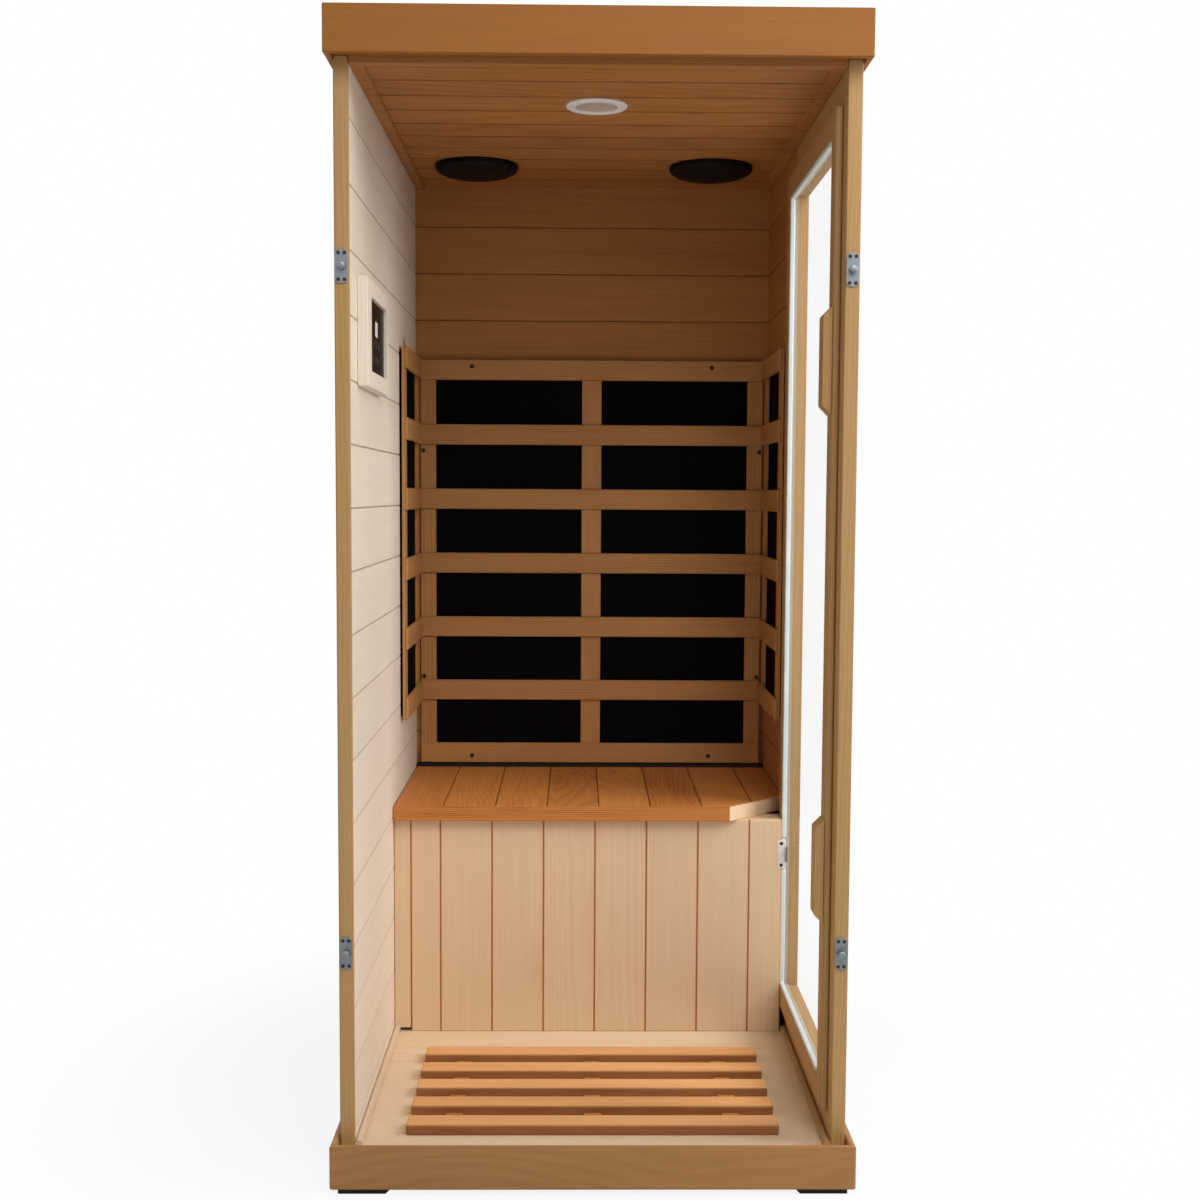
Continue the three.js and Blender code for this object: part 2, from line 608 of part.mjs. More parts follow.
// Loudspeaker: domed grille below the ceiling, basket and magnet above it
const domeRadius = (SPEAKER_RADIUS ** 2 + SPEAKER_DOME ** 2) / (2 * SPEAKER_DOME);
const speakerProfile = [];
const domeSteps = 8;
const domeAngle = Math.asin(SPEAKER_RADIUS / domeRadius);
for (let i = 0; i <= domeSteps; i += 1) {
  const turn = (i / domeSteps) * domeAngle;
  const drop = SPEAKER_DOME - domeRadius * (1 - Math.cos(turn));
  speakerProfile.push([domeRadius * Math.sin(turn), -SPEAKER_RIM - drop]);
}
speakerProfile.push(
  [SPEAKER_RADIUS, 0],
  [SPEAKER_BODY_RADIUS, 0],
  [SPEAKER_BODY_RADIUS, CEILING_THICKNESS + DECK_THICKNESS],
  [SPEAKER_MAGNET_RADIUS, SPEAKER_BODY_HEIGHT / 2 + DECK_THICKNESS],
  [SPEAKER_MAGNET_RADIUS, SPEAKER_BODY_HEIGHT],
  [0, SPEAKER_BODY_HEIGHT],
);
speakerProfile[0][0] = 0;
for (const [side, name] of [[-1, 'left'], [1, 'right']]) {
  add(`speaker_${name}`, turned(speakerProfile), looks.speakerBlack, side * speakerX, speakerY, ceilingZ);
}

// Ceiling light: a white ring with a barrel, and a lens inside it
const ringInner = LIGHT_LENS_RADIUS + FIT_CLEARANCE;
const ringProfile = [
  [ringInner, -LIGHT_RIM],
  [LIGHT_RADIUS - LIGHT_RIM / 2, -LIGHT_RIM],
  [LIGHT_RADIUS, -LIGHT_RIM / 2],
  [LIGHT_RADIUS, 0],
  [LIGHT_BODY_RADIUS, 0],
  [LIGHT_BODY_RADIUS, LIGHT_BODY_HEIGHT],
  [ringInner, LIGHT_BODY_HEIGHT],
  [ringInner, -LIGHT_RIM],
];
const lensLow = -LIGHT_RIM + LIGHT_LENS_RECESS;
const lensProfile = [
  [0, lensLow],
  [LIGHT_LENS_RADIUS, lensLow],
  [LIGHT_LENS_RADIUS, lensLow + LIGHT_LENS_THICKNESS],
  [0, lensLow + LIGHT_LENS_THICKNESS],
];
add('light_ring', turned(ringProfile), looks.whitePlastic, 0, lightY, ceilingZ);
add('light_lens', turned(lensProfile), looks.lensGrey, 0, lightY, ceilingZ);

// Bench: boards run front to back, with the corner by the door clipped
const benchLines = grooveLines(-benchX + BENCH_FIRST_LINE, -benchX, benchX);
const benchBoards = prism('y', swap(boardedOutline(-benchX, benchX, benchTop, benchBottom, benchLines)),
  benchFrontY, benchRearY);
const clipCorner = [
  [benchX - benchClip, benchFrontY],
  [benchX - benchClip, benchFrontY - benchClip],
  [benchX + benchClip, benchFrontY - benchClip],
  [benchX + benchClip, benchFrontY + benchClip],
  [benchX, benchFrontY + benchClip],
];
const clipTool = prism('z', clipCorner, benchBottom - BENCH_THICKNESS, benchTop + BENCH_THICKNESS);
add('bench_top', cut(benchBoards, clipTool), looks.brownWood);
const cleatZ = [benchBottom - CLEAT_HEIGHT, benchBottom];
const cleatX = [-CLEAT_LENGTH / 2, CLEAT_LENGTH / 2];
add('bench_cleat', block(cleatX, [backY - CLEAT_DEPTH, backY], cleatZ), looks.honeyWood);

// Kickboard with upright boards, the rail behind its top edge and the post beside it
const kickX = [-innerX + KICK_LEFT_GAP, innerX - KICK_RIGHT_GAP];
const kickRearY = kickY + KICK_THICKNESS;
const kickLines = grooveLines(kickX[0] + KICK_FIRST_LINE, kickX[0], kickX[1]);
const kickOutline = boardedOutline(kickX[0], kickX[1], kickY, kickRearY, kickLines);
add('kickboard', prism('z', kickOutline, floorZ, benchBottom), looks.kickWood);
const railY = [kickRearY, kickRearY + KICK_RAIL_DEPTH];
add('kick_rail', block(kickX, railY, [benchBottom - KICK_RAIL_HEIGHT, benchBottom]), looks.kickWood);
const postX = [kickX[0] - FIT_CLEARANCE - POST_WIDTH, kickX[0] - FIT_CLEARANCE];
const postZ = [floorZ + POST_FOOT_GAP, benchBottom];
add('kick_post', block(postX, [kickY, kickY + POST_DEPTH], postZ), looks.kickWood);

// Heaters: u along the wall, w out from the wall into the cabin
const walls = {
  back: (u, w, z) => block(u, [backY - w[1], backY - w[0]], z),
  left: (u, w, z) => block([-innerX + w[0], -innerX + w[1]], u, z),
  right: (u, w, z) => block([innerX - w[1], innerX - w[0]], u, z),
};
const stileOut = HEATER_THICKNESS + GUARD_STILE_THICKNESS;
const railOut = stileOut + GUARD_RAIL_THICKNESS;
function addHeater(wall, centre, width, rails, stiles) {
  const on = walls[wall];
  const bottom = guardTop - (rails - 1) * GUARD_RAIL_PITCH - GUARD_RAIL_HEIGHT;
  const u = [centre - width / 2, centre + width / 2];
  const heaterU = [u[0] + HEATER_MARGIN, u[1] - HEATER_MARGIN];
  const heaterZ = [bottom + HEATER_MARGIN, guardTop - HEATER_MARGIN];
  add(`${wall}_heater_panel`, on(heaterU, [0, HEATER_THICKNESS], heaterZ), looks.heaterBlack);
  const stileW = [HEATER_THICKNESS, stileOut];
  const pieces = stiles.map(([from, to]) => on([u[0] + from, u[0] + to], stileW, [bottom, guardTop]));
  for (let i = 0; i < rails; i += 1) {
    const low = bottom + i * GUARD_RAIL_PITCH;
    pieces.push(on(u, [HEATER_THICKNESS, railOut], [low, low + GUARD_RAIL_HEIGHT]));
  }
  add(`${wall}_heater_guard`, join(...pieces), looks.brownWood);
}
const mullion = [(BACK_GUARD_WIDTH - BACK_GUARD_MULLION) / 2, (BACK_GUARD_WIDTH + BACK_GUARD_MULLION) / 2];
addHeater('back', 0, BACK_GUARD_WIDTH, BACK_GUARD_RAILS, [
  [0, BACK_GUARD_STILE],
  mullion,
  [BACK_GUARD_WIDTH - BACK_GUARD_STILE, BACK_GUARD_WIDTH],
]);
const sideStiles = [[0, SIDE_GUARD_STILE], [SIDE_GUARD_WIDTH - SIDE_GUARD_STILE, SIDE_GUARD_WIDTH]];
const sideCentre = backY - SIDE_GUARD_FROM_BACK - SIDE_GUARD_WIDTH / 2;
addHeater('left', sideCentre, SIDE_GUARD_WIDTH, SIDE_GUARD_RAILS, sideStiles);
addHeater('right', sideCentre, SIDE_GUARD_WIDTH, SIDE_GUARD_RAILS, sideStiles);

// Control box: a wooden frame with the panel sunk into it
const controlY = wallY + CONTROL_FROM_FRONT;
const controlZ = floorZ + CONTROL_ABOVE_FLOOR;
const panelY = [controlY + PANEL_FRONT_MARGIN, controlY + PANEL_FRONT_MARGIN + PANEL_LENGTH];
const panelZ = [controlZ + PANEL_EDGE_MARGIN, controlZ + PANEL_EDGE_MARGIN + PANEL_HEIGHT];
const boxY = [controlY, panelY[1] + PANEL_REAR_MARGIN];
const boxZ = [controlZ, panelZ[1] + PANEL_EDGE_MARGIN];
const grow = ([low, high]) => [low - FIT_CLEARANCE, high + FIT_CLEARANCE];
add('control_frame', cut(
  walls.left(boxY, [0, CONTROL_THICKNESS], boxZ),
  walls.left(grow(panelY), [-CONTROL_THICKNESS, CONTROL_THICKNESS * 2], grow(panelZ)),
), looks.honeyWood);
add('control_panel', walls.left(panelY, [0, PANEL_THICKNESS], panelZ), looks.panelBlack);

const sauna = new THREE.Group();
sauna.add(cabin);

export default sauna;
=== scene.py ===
"""Infrared sauna cabin: boarded walls, guarded heaters, bench, floor grille and a glass side door.

Metres, +Z up, the open front towards -Y, the middle of the base at the origin.
"""
import math

import bpy
import numpy as np
from mathutils import Matrix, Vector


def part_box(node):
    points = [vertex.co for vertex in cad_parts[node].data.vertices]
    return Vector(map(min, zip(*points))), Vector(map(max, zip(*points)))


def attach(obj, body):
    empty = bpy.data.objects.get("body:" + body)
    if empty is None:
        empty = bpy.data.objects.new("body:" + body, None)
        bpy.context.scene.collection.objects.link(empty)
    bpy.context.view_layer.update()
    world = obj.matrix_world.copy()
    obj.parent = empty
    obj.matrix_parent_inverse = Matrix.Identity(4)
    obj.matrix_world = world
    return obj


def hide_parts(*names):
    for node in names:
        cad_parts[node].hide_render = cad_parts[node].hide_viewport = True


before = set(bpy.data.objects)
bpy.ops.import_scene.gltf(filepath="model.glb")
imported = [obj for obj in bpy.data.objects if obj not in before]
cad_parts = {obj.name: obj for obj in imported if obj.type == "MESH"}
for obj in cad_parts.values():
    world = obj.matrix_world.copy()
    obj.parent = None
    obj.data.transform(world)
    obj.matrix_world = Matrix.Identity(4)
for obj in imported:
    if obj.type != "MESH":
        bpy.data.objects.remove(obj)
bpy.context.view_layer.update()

MM = 0.001
BOARD_PITCH, NARROWEST_BOARD = 102.8 * MM, 6.0 * MM
ACROSS, DEEP, UP = 0, 1, 2


class Wire:
    """A shader socket. Arithmetic on wires and numbers adds Math nodes."""

    def __init__(self, finish, socket):
        self.finish = finish
        self.socket = socket

    def math(self, operation, first, second=0.0):
        """One Math node on one or two values."""
        return self.finish.node("ShaderNodeMath", {"operation": operation}, {0: first, 1: second})

    def __add__(self, other):
        return self.math("ADD", self, other)

    def __radd__(self, other):
        return self.math("ADD", other, self)

    def __sub__(self, other):
        return self.math("SUBTRACT", self, other)

    def __rsub__(self, other):
        return self.math("SUBTRACT", other, self)

    def __mul__(self, other):
        return self.math("MULTIPLY", self, other)

    def __rmul__(self, other):
        return self.math("MULTIPLY", other, self)

    def __truediv__(self, other):
        return self.math("DIVIDE", self, other)

    def __pow__(self, other):
        return self.math("POWER", self, other)

    def floor(self):
        return self.math("FLOOR", self)

    def sine(self):
        return self.math("SINE", self)

    def root(self):
        return self.math("SQRT", self)

    def absolute(self):
        return self.math("ABSOLUTE", self)

    def larger(self, other):
        return self.math("MAXIMUM", self, other)

    def above(self, other):
        return self.math("GREATER_THAN", self, other)

    def smooth(self, low, high):
        """0 below low and 1 above high, with a soft step between; low may be the larger."""
        settings = {"interpolation_type": "SMOOTHSTEP"}
        return self.finish.node("ShaderNodeMapRange", settings, {0: self, 1: low, 2: high})


class Finish:
    """A node tree being written, for a material or for the world."""

    def __init__(self, tree):
        self.tree = tree
        tree.nodes.clear()

    def node(self, kind, settings=None, inputs=None, output=0):
        """Adds a node: its settings first, then the values or wires of its sockets."""
        node = self.tree.nodes.new(kind)
        for key, value in (settings or {}).items():
            setattr(node, key, value)
        for key, value in (inputs or {}).items():
            if isinstance(value, Wire):
                self.tree.links.new(value.socket, node.inputs[key])
            else:
                node.inputs[key].default_value = value
        return Wire(self, node.outputs[output]) if node.outputs else node

    def blend(self, factor, first, second):
        """A colour between first and second."""
        inputs = {0: factor, 6: first, 7: second}
        return self.node("ShaderNodeMix", {"data_type": "RGBA"}, inputs, 2)

    def noise(self, vector, scale, detail, roughness=0.55):
        """Cloudy noise from 0 to 1 at a point."""
        inputs = {"Vector": vector, "Scale": scale, "Detail": detail, "Roughness": roughness}
        return self.node("ShaderNodeTexNoise", None, inputs)

    def vector(self, x, y, z):
        """A vector from three values."""
        return self.node("ShaderNodeCombineXYZ", None, {0: x, 1: y, 2: z})

    def place(self):
        """The point on the piece as a vector and as its x, y and z, in metres."""
        point = self.node("ShaderNodeTexCoord", None, None, "Object")
        parts = self.node("ShaderNodeSeparateXYZ", None, {0: point})
        return point, [Wire(self, socket) for socket in parts.socket.node.outputs]

    def surface(self, **sockets):
        """The Principled surface; names use underscores for spaces."""
        inputs = {key.replace("_", " "): value for key, value in sockets.items()}
        shader = self.node("ShaderNodeBsdfPrincipled", None, inputs)
        self.node("ShaderNodeOutputMaterial", None, {"Surface": shader})

    def bump(self, height, strength, distance):
        """A normal tilted by a height from 0 to 1 that stands for a distance in metres."""
        inputs = {"Height": height, "Strength": strength, "Distance": distance}
        return self.node("ShaderNodeBump", None, inputs)


def tone(red, green, blue):
    """A linear colour from display values of 0 to 255, by the standard display curve."""
    seen = np.array([red, green, blue]) / 255.0
    linear = np.where(seen <= 0.04045, seen / 12.92, ((seen + 0.055) / 1.055) ** 2.4)
    return (*linear.tolist(), 1.0)


def new_material(name):
    """An empty material and the node tree to write its finish in."""
    material = bpy.data.materials.new(name)
    material.use_nodes = True
    return material, Finish(material.node_tree)


# Wood grain: how boards differ, where the pith lies, and the spread of knots
BOARD_STEP, PLANK_START = 0.137, 3.31
BOARD_SHIFT = 17.3
PITH_SPREAD, PITH_WANDER = 0.12, 0.05
PITH_DEPTH, PITH_LEAST, PITH_LEAN = 0.05, 0.012, 0.05
RING_WANDER, RING_PUSH, RING_SHARPNESS = 0.006, 0.012, 1.6
KNOT_RIM, KNOT_CORE = 0.075, 0.03
HALO_RIM, HALO_CORE = 0.3, 0.02
KNOT_ALONG, KNOT_ACROSS = 3.2, 3.6
KNOT_TINT, HALO_TINT = 0.85, 0.35
RING_SHARE, FIBRE_SHARE = 0.5, 1.1
BASE_DARK, DARK_RANGE = 0.12, (-0.15, 1.0)
RING_HEIGHT, FIBRE_HEIGHT = -0.3, 0.7
WOOD_GLOSS, ROUGH_SPREAD = 0.22, 0.18
GRAIN_BUMP, GRAIN_DEPTH = 0.22, 0.6 * MM


def wood(name, early, late, knot, along, ring=5.0 * MM, contrast=0.6, variety=0.25, knots=0.86,
         rough=0.55, seam_shade=0.25, flank=0.0, planks=None, seam_shade_width=2.2 * MM):
    """Sawn softwood.

    Growth rings are circles about a pith line that drifts along the board, so a board's face shows
    arches and its edge shows stripes. Each board has its own pith, from the attribute "board" or, on
    a boarded panel, from the number of its plank: planks is (axis, first line, pitch, half length).
    One value sets how dark the rounded edges and plank lines are, from the attribute "edge" or the
    nearness
    of a plank line: partly dark joints, partly painted shade in the grooves between boards. Another
    darkens a board's narrow sides, from a mark set on its points: painted shade, the sides darker than
    the tops.
    """
    material, fin = new_material(name)
    xyz = fin.place()[1]
    length, side, thick = (xyz[(along + k) % 3] for k in range(3))
    if planks:
        axis, first, pitch, half_length = planks
        plank = (xyz[axis] - first) / pitch
        board = plank.floor() * BOARD_STEP + PLANK_START
        edge = (plank - (plank + 0.5).floor()).absolute().smooth(seam_shade_width / pitch, 0.0)
        edge = edge * (half_length - length.absolute()).above(0.0)
    else:
        board = fin.node("ShaderNodeAttribute", {"attribute_name": "board"}, None, "Fac")
        edge = fin.node("ShaderNodeAttribute", {"attribute_name": "edge"}, None, "Fac")
    chance = fin.node("ShaderNodeTexWhiteNoise", {"noise_dimensions": "1D"}, {"W": board}, 1)
    drawn = fin.node("ShaderNodeSeparateColor", None, {0: chance})
    lots = [Wire(fin, socket) for socket in drawn.socket.node.outputs]
    shift = board * BOARD_SHIFT

    def grain(stretch, spread, detail, roughness=0.55):
        """Noise drawn out along the board: stretch is its scale along, spread its scale across."""
        spot = fin.vector(length * stretch + shift, side * spread, thick * spread)
        return fin.noise(spot, 1.0, detail, roughness)

    slow = grain(1.3, 4.0, 2.0)
    knot_spot = fin.vector(length * KNOT_ALONG + shift, side * KNOT_ACROSS, thick * KNOT_ACROSS + shift)
    cells = {"Vector": knot_spot, "Scale": 1.0}
    knot_node = fin.node("ShaderNodeTexVoronoi", None, cells, "Distance")
    cell_colour = Wire(fin, knot_node.socket.node.outputs["Color"])
    cell = fin.node("ShaderNodeSeparateColor", None, {0: cell_colour})
    chosen = cell.above(knots)
    knot_mask = knot_node.smooth(KNOT_RIM, KNOT_CORE) * chosen
    halo = knot_node.smooth(HALO_RIM, HALO_CORE) * chosen
    pith_side = (lots[0] - 0.5) * PITH_SPREAD + (slow - 0.5) * PITH_WANDER
    pith_deep = lots[1] * PITH_DEPTH + PITH_LEAST + length * (lots[2] - 0.5) * PITH_LEAN
    reach = ((side + pith_side) ** 2.0 + (thick + pith_deep) ** 2.0).root()
    wander = grain(6.0, 30.0, 3.0)
    phase = (reach + wander * RING_WANDER + halo * RING_PUSH) * (2.0 * math.pi / ring)
    rings = (phase.sine() * 0.5 + 0.5) ** RING_SHARPNESS
    fibre = grain(9.0, 420.0, 4.0, 0.65)
    streak = grain(2.2, 55.0, 3.0)
    lines = rings * (RING_SHARE * contrast) + (fibre - 0.5) * (FIBRE_SHARE * contrast)
    dark = lines + (streak - 0.5) * contrast
    mixed = dark + (lots[1] - 0.5) * variety + (slow - 0.5) * variety + BASE_DARK
    colour = fin.blend(mixed.smooth(*DARK_RANGE), early, late)
    colour = fin.blend(halo * HALO_TINT, colour, late)
    colour = fin.blend(knot_mask * KNOT_TINT, colour, knot)
    # painted shade: rounded edges and plank lines darkened, partly dark joints, partly the shade in the
    # grooves
    colour = fin.blend(edge * seam_shade, colour, knot)
    # painted shade: a board's narrow sides darker than its top
    if flank:
        side_shade_mask = fin.node("ShaderNodeAttribute", {"attribute_name": "flank"}, None, "Fac")
        colour = fin.blend(side_shade_mask * flank, colour, knot)
    normal = fin.bump(rings * RING_HEIGHT + fibre * FIBRE_HEIGHT, GRAIN_BUMP, GRAIN_DEPTH)
    dullness = fibre * ROUGH_SPREAD + (rough - ROUGH_SPREAD / 2.0)
    fin.surface(Base_Color=colour, Roughness=dullness, Normal=normal, Specular_IOR_Level=WOOD_GLOSS)
    return material


def moulded(name, colour, rough, grain, gloss=0.3, scale=900.0):
    """Moulded plastic, rubber or painted sheet: a fine orange-peel bump and faint cloudy wear."""
    material, fin = new_material(name)
    point = fin.place()[0]
    peel = fin.noise(point, scale, 2.0)
    cloud = fin.noise(point, 14.0, 4.0)
    worn = tuple(min(1.0, c * 1.35 + 0.01) for c in colour[:3]) + (1.0,)
    fin.surface(Base_Color=fin.blend(cloud.smooth(0.45, 0.8) * 0.5, colour, worn),
                Roughness=cloud * 0.16 + (rough - 0.08), Specular_IOR_Level=gloss,
                Normal=fin.bump(peel, grain, 0.4 * MM))
    return material


def brushed(name, colour, along, rough):
    """Plated steel with fine scratches along one axis."""
    material, fin = new_material(name)
    point, xyz = fin.place()
    length, side, thick = (xyz[(along + k) % 3] for k in range(3))
    lines = fin.noise(fin.vector(length * 25.0, side * 2600.0, thick * 2600.0), 1.0, 3.0)
    cloud = fin.noise(point, 60.0, 3.0)
    dull = tuple(c * 0.6 for c in colour[:3]) + (1.0,)
    fin.surface(Base_Color=fin.blend(cloud.smooth(0.5, 0.75) * 0.5 + lines * 0.2, colour, dull),
                Metallic=0.92, Roughness=lines * 0.25 + (rough - 0.1),
                Normal=fin.bump(lines, 0.15, 0.2 * MM))
    return material


WEAVE_PITCH = 2.4 * MM


def heater_cloth(name):
    """Black radiant sheet with a fine crossed weave: the product of two sine waves."""
    material, fin = new_material(name)
    point, xyz = fin.place()
    rate = 2.0 * math.pi / WEAVE_PITCH
    weave = (xyz[UP] * rate).sine() * ((xyz[ACROSS] + xyz[DEEP]) * rate).sine()
    cloud = fin.noise(point, 9.0, 4.0)
    colour = fin.blend(weave * 0.25 + cloud * 0.4, tone(4, 4, 4), tone(17, 16, 15))
    fin.surface(Base_Color=colour, Roughness=cloud * 0.2 + 0.7, Normal=fin.bump(weave, 0.35, 0.4 * MM),
                Specular_IOR_Level=0.05)
    return material


HOLES_PER_METRE = 190.0


def speaker_mesh(name):
    """Black perforated sheet: round holes on a square grid, seen from below."""
    material, fin = new_material(name)
    point, xyz = fin.place()
    spot = fin.vector(xyz[ACROSS], xyz[DEEP], 0.0)
    cells = {"Vector": spot, "Scale": HOLES_PER_METRE, "Randomness": 0.0}
    centre = fin.node("ShaderNodeTexVoronoi", {"voronoi_dimensions": "2D"}, cells, "Distance")
    hole = centre.smooth(0.36, 0.28)
    cloud = fin.noise(point, 30.0, 3.0)
    colour = fin.blend(hole, fin.blend(cloud, tone(12, 14, 12), tone(20, 22, 20)), tone(3, 3, 3))
    fin.surface(Base_Color=colour, Roughness=cloud * 0.2 + 0.5,
                Normal=fin.bump(hole * -1.0, 0.6, 0.6 * MM), Specular_IOR_Level=0.15)
    return material


PANE_RIM, RIM_COVER = 1.0 * MM, 0.45


def pane(name, box):
    """Clear glass: light goes straight through, a reflection grows towards grazing angles, and the
    ground rim, within PANE_RIM of the pane's outline, is pale and milky."""
    material, fin = new_material(name)
    point, xyz = fin.place()
    smear = fin.noise(point, 6.0, 3.0)
    clear = fin.node("ShaderNodeBsdfTransparent", None, {"Color": (0.998, 1.0, 0.999, 1.0)})
    gloss = fin.node("ShaderNodeBsdfGlossy", None, {"Roughness": smear * 0.04 + 0.02})
    edge = fin.node("ShaderNodeLayerWeight", None, {"Blend": 0.12}, "Fresnel")
    face = fin.node("ShaderNodeMixShader", None, {0: edge * 0.06, 1: clear, 2: gloss})
    middle, half = box.mean(axis=0).tolist(), ((box[1] - box[0]) / 2.0 - PANE_RIM).tolist()
    past = [((xyz[axis] - middle[axis]).absolute() - half[axis]).above(0.0) for axis in (DEEP, UP)]
    milky = {"Base Color": tone(222, 232, 227), "Roughness": 0.3}
    ground = fin.node("ShaderNodeBsdfPrincipled", None, milky)
    cover = past[0].larger(past[1]) * RIM_COVER
    shader = fin.node("ShaderNodeMixShader", None, {0: cover, 1: face, 2: ground})
    fin.node("ShaderNodeOutputMaterial", None, {"Surface": shader})
    return material


def add_piece(name, vertices, faces, material, body="cabin", replaced=(), **marks):
    """Makes the mesh, sets the numbers that mark its points and lets it ride on a body."""
    mesh = bpy.data.meshes.new(name)
    mesh.from_pydata(vertices.reshape(-1, 3).tolist(), [], faces)
    for mark, values in marks.items():
        attribute = mesh.attributes.new(mark, "FLOAT", "POINT")
        attribute.data.foreach_set("value", values.astype(np.float32))
    mesh.materials.append(material)
    mesh.shade_smooth()
    mesh.update()
    piece = bpy.data.objects.new(name, mesh)
    bpy.context.scene.collection.objects.link(piece)
    piece.modifiers.new("flat_faces", "WEIGHTED_NORMAL").keep_sharp = True
    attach(piece, body)
    if replaced:
        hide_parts(*replaced)
    return piece


def quad_grid(rows, columns):
    """Corner numbers of the quads of a rows by columns grid, closed round its columns."""
    row, column = np.meshgrid(np.arange(rows - 1), np.arange(columns), indexing="ij")
    beside = (column + 1) % columns
    here, there = row * columns, (row + 1) * columns
    corners = (here + column, here + beside, there + beside, there + column)
    return np.stack(corners, axis=-1).reshape(-1, 4)


CORNER_STEPS, CORNER_SHARE = 3, 0.92
END_ANGLE, END_SHARE = math.radians(20.0), 0.45


def board_points(boxes, along, edge, end):
    """Points of boards with rounded edges, one board for each box.

    The section is a rectangle with quarter-circle corners, carried along the board. Near each end it
    draws in by e(1 - sin t) while it moves in from the end by e(cos t0 - cos t), with t going from t0
    to 90 degrees.
    """
    low, high = boxes[:, 0], boxes[:, 1]
    centre, half = (low + high) / 2.0, (high - low) / 2.0
    turn = np.linspace(0.0, math.pi / 2.0, CORNER_STEPS + 1)
    angles = (np.arange(4)[:, None] * math.pi / 2.0 + turn).ravel()
    signs = np.repeat(np.array([[1, 1], [-1, 1], [-1, -1], [1, -1]]), CORNER_STEPS + 1, axis=0)
    axes = [(along + k) % 3 for k in range(3)]
    radius = np.minimum(edge, CORNER_SHARE * half[:, axes[1:]].min(axis=1))[:, None, None]
    end = np.minimum(end, END_SHARE * half[:, axes[0]])[:, None, None]
    ends = np.linspace(END_ANGLE, math.pi / 2.0, CORNER_STEPS + 1)
    sweep = np.concatenate([ends, ends[::-1]])
    side = np.concatenate([-np.ones_like(ends), np.ones_like(ends)])
    inset = end * (math.cos(END_ANGLE) - np.cos(sweep))[None, :, None]
    round_here = radius - np.minimum(end, radius) * (1.0 - np.sin(sweep))[None, :, None]
    out = np.empty((len(boxes), len(sweep), len(angles), 3))
    out[..., axes[0]] = side[None, :, None] * (half[:, axes[0], None, None] - inset)
    for k, wave in ((1, np.cos(angles)), (2, np.sin(angles))):
        flat = signs[None, None, :, k - 1] * (half[:, axes[k], None, None] - radius)
        out[..., axes[k]] = flat + round_here * wave
    return out + centre[:, None, None, :]


def board_faces(count, stations, sides):
    """Quads round each board and one flat face at each end."""
    quads = quad_grid(stations, sides)
    ring = np.arange(sides)
    faces = []
    for base in np.arange(count) * stations * sides:
        faces += (quads + base).tolist()
        faces.append((ring[::-1] + base).tolist())
        faces.append((ring + base + (stations - 1) * sides).tolist())
    return faces


def boards(name, boxes, along, edge, material, body="cabin", replaced=(), seed=0.0, bend=None, end=None):
    """A piece made of rounded boards; bend, if given, moves the finished points."""
    boxes = np.array(boxes, dtype=float).reshape(-1, 2, 3)
    points = board_points(boxes, along, edge, edge if end is None else end)
    count, stations, sides = points.shape[:3]
    if bend is not None:
        points = bend(points)
    numbers = seed if isinstance(seed, list) else seed + BOARD_STEP * np.arange(count)
    seeds = np.repeat(numbers, stations * sides)
    step = np.arange(sides) % (CORNER_STEPS + 1)
    on_edge = np.tile((step > 0) & (step < CORNER_STEPS), count * stations)
    quarter = np.arange(sides) // (CORNER_STEPS + 1) + step / CORNER_STEPS
    # marks the faces across the board's second axis, its narrow sides, for painted shade
    flanks = np.tile(np.cos(quarter * math.pi / 2.0) ** 2, count * stations)
    faces = board_faces(count, stations, sides)
    return add_piece(name, points, faces, material, body, replaced,
                     board=seeds, edge=on_edge, flank=flanks)


def turned(name, profile, centre, facing, steps, material, body="cabin"):
    """A body of revolution: (radius, height) points turned about facing, height measured along it."""
    profile = np.array(profile, dtype=float)
    facing = np.array(facing, dtype=float)
    helper = np.array([1.0, 0.0, 0.0]) if abs(facing[0]) < 0.9 else np.array([0.0, 1.0, 0.0])
    first = np.cross(facing, helper)
    first /= np.linalg.norm(first)
    second = np.cross(facing, first)
    angle = np.linspace(0.0, 2.0 * math.pi, steps, endpoint=False)
    spoke = np.cos(angle)[:, None] * first + np.sin(angle)[:, None] * second
    rings = profile[:, 0, None, None] * spoke[None]
    points = rings + profile[:, 1, None, None] * facing + np.array(centre)
    ring = np.arange(steps)
    faces = quad_grid(len(profile), steps).tolist()
    faces.append(ring[::-1].tolist())
    faces.append((ring + (len(profile) - 1) * steps).tolist())
    return add_piece(name, points, faces, material, body)


def node_box(name):
    """A CAD node's low and high corner."""
    return np.array([list(corner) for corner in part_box(name)])


def span(box, axis, low=None, high=None):
    """A copy of a box with one axis cut to new limits."""
    cut = box.copy()
    if low is not None:
        cut[0, axis] = low
    if high is not None:
        cut[1, axis] = high
    return cut


def split(box, axis, lines):
    """A box cut into planks at the given lines."""
    edges = [box[0, axis], *sorted(lines), box[1, axis]]
    return [span(box, axis, low, high) for low, high in zip(edges[:-1], edges[1:])]


def lines_between(first, low, high):
    """Every board line first + k pitch that is at least NARROWEST_BOARD inside two edges."""
    lowest, highest = (low - first) / BOARD_PITCH, (high - first) / BOARD_PITCH
    places = first + np.arange(math.ceil(lowest), math.floor(highest) + 1) * BOARD_PITCH
    inside = (places > low + NARROWEST_BOARD) & (places < high - NARROWEST_BOARD)
    return places[inside].tolist()
